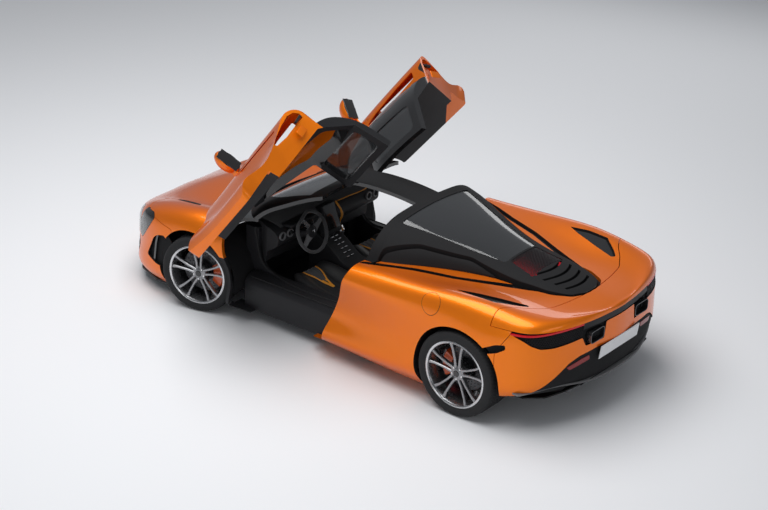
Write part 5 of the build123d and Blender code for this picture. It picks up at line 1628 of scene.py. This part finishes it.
DASH_PROFILE = [(905, 480), (905, 768), (872, 806), (760, 812), (660, 800), (596, 770), (566, 730), (572, 668),
                (640, 612), (690, 590), (700, 480)]
dash = prism(round_corners(DASH_PROFILE, 30), "y", -640, 640, TRIM, "dashboard_look")
combine(dash, "INTERSECT", prism([(940, 520), (860, 560), (700, 640), (400, 640), (400, -640), (700, -640),
                                  (860, -560), (940, -520)], "z", 0, 1000, TRIM))
finish(dash, CHASSIS, "cabin_trim", "dashboard", bevel=6)
dash_top = prism(round_corners([(880, 800), (870, 812), (760, 819), (660, 808), (610, 786), (660, 798), (760, 808)],
                               5), "y", -560, 560, SUEDE, "dash_top")
finish(dash_top, CHASSIS, "cabin_trim", bevel=0)
SCREEN_LEAN = 0.35
cowl = soft_box("instrument_cowl", (585, 360, 800), (120, 330, 26), TRIM, 12, leaned(math.radians(8)))
cluster = soft_box("instrument_panel", (566, 360, 762), (10, 280, 74), GLOSS_BLACK, 4, leaned(0.3))
screen = soft_box("centre_screen", (556, 0, 718), (14, 150, 210), GLOSS_BLACK, 6, leaned(SCREEN_LEAN))
stack = soft_box("centre_stack", (590, 0, 690), (90, 190, 260), TRIM, 20, leaned(SCREEN_LEAN))
vents = []
for y in (-590, -500, 500, 590):
    vents.append(turned_solid("air_vent", [(36, 0), (36, 14), (27, 14), (27, 0)], GREY_TRIM, 32))
    vents[-1].data.transform(put_at((570, y, 738), Matrix.Rotation(math.pi / 2, 4, "Z")))
    vents.append(ellipsoid("vent_core", (572, y, 738), (8, 27, 27), MATTE_BLACK))
fit([cowl, cluster, screen, stack] + vents, "dash_details", "cabin_trim")
accents = [tube("dash_accent", [(600, -104, 806), (560, -108, 770), (530, -112, 700), (560, -116, 620),
                                (520, -118, 560)], 9, PIPING),
           tube("dash_line", [(612, -150, 792), (600, -330, 794), (602, -500, 790), (640, -600, 784)], 5, PIPING)]
fit(accents, "dash_accents", "seat_leather")
print("dashboard made")

# %% [markdown]
# ## Console
# The console leans down from the dashboard to the armrest, with two rows of buttons and two knobs.

# %% Console
CONSOLE_PROFILE = [(700, 135), (700, 610), (650, 606), (560, 560), (480, 520), (330, 404), (40, 372), (-250, 362),
                   (-330, 432), (-400, 432), (-400, 135)]
console = prism(round_corners(CONSOLE_PROFILE, 40), "y", -116, 116, TRIM, "console_look")
finish(console, CHASSIS, "cabin_trim", "console", bevel=14)
buttons = []
for k in range(6):
    x = 520 - 34 * k
    z = float(np.interp(-x, [-560, -480, -330], [560, 520, 404])) + 6
    for y in (-26, 26):
        buttons.append(soft_box("console_button", (x, y, z), (20, 30, 8), BRIGHT_METAL, 3, leaned(math.radians(36))))
for y in (-30, 30):
    knob = turned_solid("console_knob", [(1, 0), (24, 0), (22, 18), (1, 18)], BRIGHT_METAL, 24)
    knob.data.transform(put_at((560, y, 566), Matrix.Rotation(math.pi / 2, 4, "X"),
                               Matrix.Scale(-1, 4, (0, 1, 0))))
    buttons.append(knob)
armrest = soft_box("armrest", (-120, 0, 384), (330, 200, 50), LEATHER, 20)
fit(buttons, "console_buttons", "cabin_trim")
finish(armrest, CHASSIS, "seat_leather", bevel=0)
print("console made")

# %% [markdown]
# ## Steering wheel
# The rim is a round bead with a flattened foot. It is made flat at the origin and then leaned with the column, so its
# spokes stay easy to measure.

# %% Steering wheel
WHEEL_AT, COLUMN_TILT, WHEEL_R = (450, 360, 735), math.radians(22), 165
RIM_STEPS, BEAD_STEPS = 72, 12


def steering_wheel_pieces():
    rings = []
    for k in range(RIM_STEPS):
        angle = 2 * math.pi * k / RIM_STEPS
        flat = min(1.0, 0.90 / max(0.001, -math.sin(angle))) if math.sin(angle) < -0.9 else 1.0
        at = Vector((0, WHEEL_R * math.cos(angle), WHEEL_R * math.sin(angle) * flat))
        turns = [2 * math.pi * j / BEAD_STEPS for j in range(BEAD_STEPS)]
        rings.append([(at + at.normalized() * 14 * math.cos(t) + Vector((1, 0, 0)) * 16 * math.sin(t)) * MM
                      for t in turns])
    # The rim's lighter suede is partly its own finish and partly a painted highlight along the rim.
    pieces = [loop_of_rings("wheel_rim", rings, SUEDE), ellipsoid("wheel_boss", (8, 0, -4), (26, 62, 54), TRIM),
              ellipsoid("wheel_badge", (-14, 0, 0), (6, 16, 16), BRIGHT_METAL)]
    for degrees, wide in ((4, 24), (176, 24), (270, 20)):
        angle = math.radians(degrees)
        out, across = Vector((0, math.cos(angle), math.sin(angle))), Vector((0, -math.sin(angle), math.cos(angle)))
        rings = []
        for reach, half in ((40, wide * 1.3), (95, wide * 0.8), (156, wide * 0.7)):
            rings.append([(out * reach + across * w + Vector((d, 0, 0))) * MM
                          for w, d in ((-half, -4), (half, -4), (half, 10), (-half, 10))])
        pieces.append(solid_of_rings("wheel_spoke", rings, BRIGHT_METAL if degrees == 270 else GREY_TRIM))
    return pieces


steering = joined(steering_wheel_pieces(), "steering_wheel_look")
axis_turn = Matrix.Rotation(math.radians(210), 4, (-1, 0, 0))
steering.data.transform(put_at(WHEEL_AT, leaned(COLUMN_TILT), axis_turn))
finish(steering, "steering_wheel", "cabin_trim", "steering_wheel", bevel=0, angle=50)
column = tube("steering_column", [(470, 360, 727), (560, 360, 690), (640, 360, 657)], 34, TRIM, 20)
finish(column, CHASSIS, "cabin_trim", bevel=0)
print("steering wheel set")

# %% [markdown]
# ## Sills, seals and the frame
# The doorway is lined with swept covers and two beads of rubber. The frame's solids need no other form, so they keep
# their own and only get a finish.

# %% Sill covers and door seals
# Seen from the side, the doorway's lower corners sweep up from the sill to the posts.
SWEEP_FRONT = [(520, 396), (610, 404), (690, 436), (748, 500), (780, 590), (800, 690), (812, 765), (903, 765),
               (903, 396)]
SWEEP_REAR = [(-110, 396), (-210, 408), (-290, 446), (-346, 520), (-384, 640), (-410, 780), (-476, 780), (-476, 396)]
SILL_SECTION = [(611, 109), (788, 109), (788, 318), (774, 352), (742, 380), (700, 393), (611, 396)]
wheel_room = prism(circle(FRONT_WHEEL_AT, FRONT_HOUSE + 3), "y", -1000, 1000, SATIN_BLACK)
sill_pieces = []
for side in (1, -1):
    sill_pieces.append(prism([(y * side, z) for y, z in SILL_SECTION], "x", -478, 800, SATIN_BLACK, "sill"))
    for outline, reach in ((SWEEP_FRONT, 650), (SWEEP_REAR, 690)):
        low, high = sorted((612 * side, reach * side))
        sill_pieces.append(prism(outline, "y", low, high, SATIN_BLACK))
    low, high = sorted((500 * side, 637 * side))
    sill_pieces.append(prism([(781, 136), (904, 136), (904, 764), (781, 764)], "y", low, high, SATIN_BLACK))
for piece in sill_pieces:
    combine(piece, "DIFFERENCE", wheel_room, keep=(wheel_room,))
drop(wheel_room)
fit(sill_pieces, "sill_covers", "black_composite", "sills", bevel=5)
INNER_SEAL = [(x, float(np.interp(x, (470, 560), (684, 642))), z + 2)
              for x, z in SWEEP_FRONT[6::-1] + SWEEP_REAR[:6]]
OUTER_SEAL = [(x, 748, 380) for x in (760, 600, 300, 0, -300, -440)]
seals = [tube("door_seal", [(x, y * side, z) for x, y, z in line], radius, RUBBER)
         for side in (1, -1) for line, radius in ((INNER_SEAL, 8), (OUTER_SEAL, 6))]
fit(seals, "door_seals", "black_composite")
print("sills and seals made")

# %% Finishes of the solids that show as they are
NODE_FINISHES = {"bulkheads": TRIM, "floor": MATTE_BLACK, "hinge_pins": BRIGHT_METAL, "splitter": SATIN_BLACK,
                 "luggage_bin": MATTE_BLACK}
for name in ("front_rails", "front_crossmember", "rear_frame", "engine_block", "knuckle_left", "knuckle_right",
             "rear_uprights", "wishbones"):
    NODE_FINISHES[name] = CAST
for name, material in NODE_FINISHES.items():
    node = frame["nodes"][name]
    if not node.material_slots:
        node.data.materials.append(material)
    for slot_place in node.material_slots:
        slot_place.material = material
print("cabin made")

# %% [markdown]
# ## Clearing up
# The forms from which the panels were cut are no part of the car, so they are removed.

# %% Leave only the finished pieces
for thing in list(bpy.context.scene.objects):
    if thing.name.startswith(("inner_form", "skin", "outer_form", "glass_skin", "door_zone", "band_form", "cutter")):
        drop(thing)
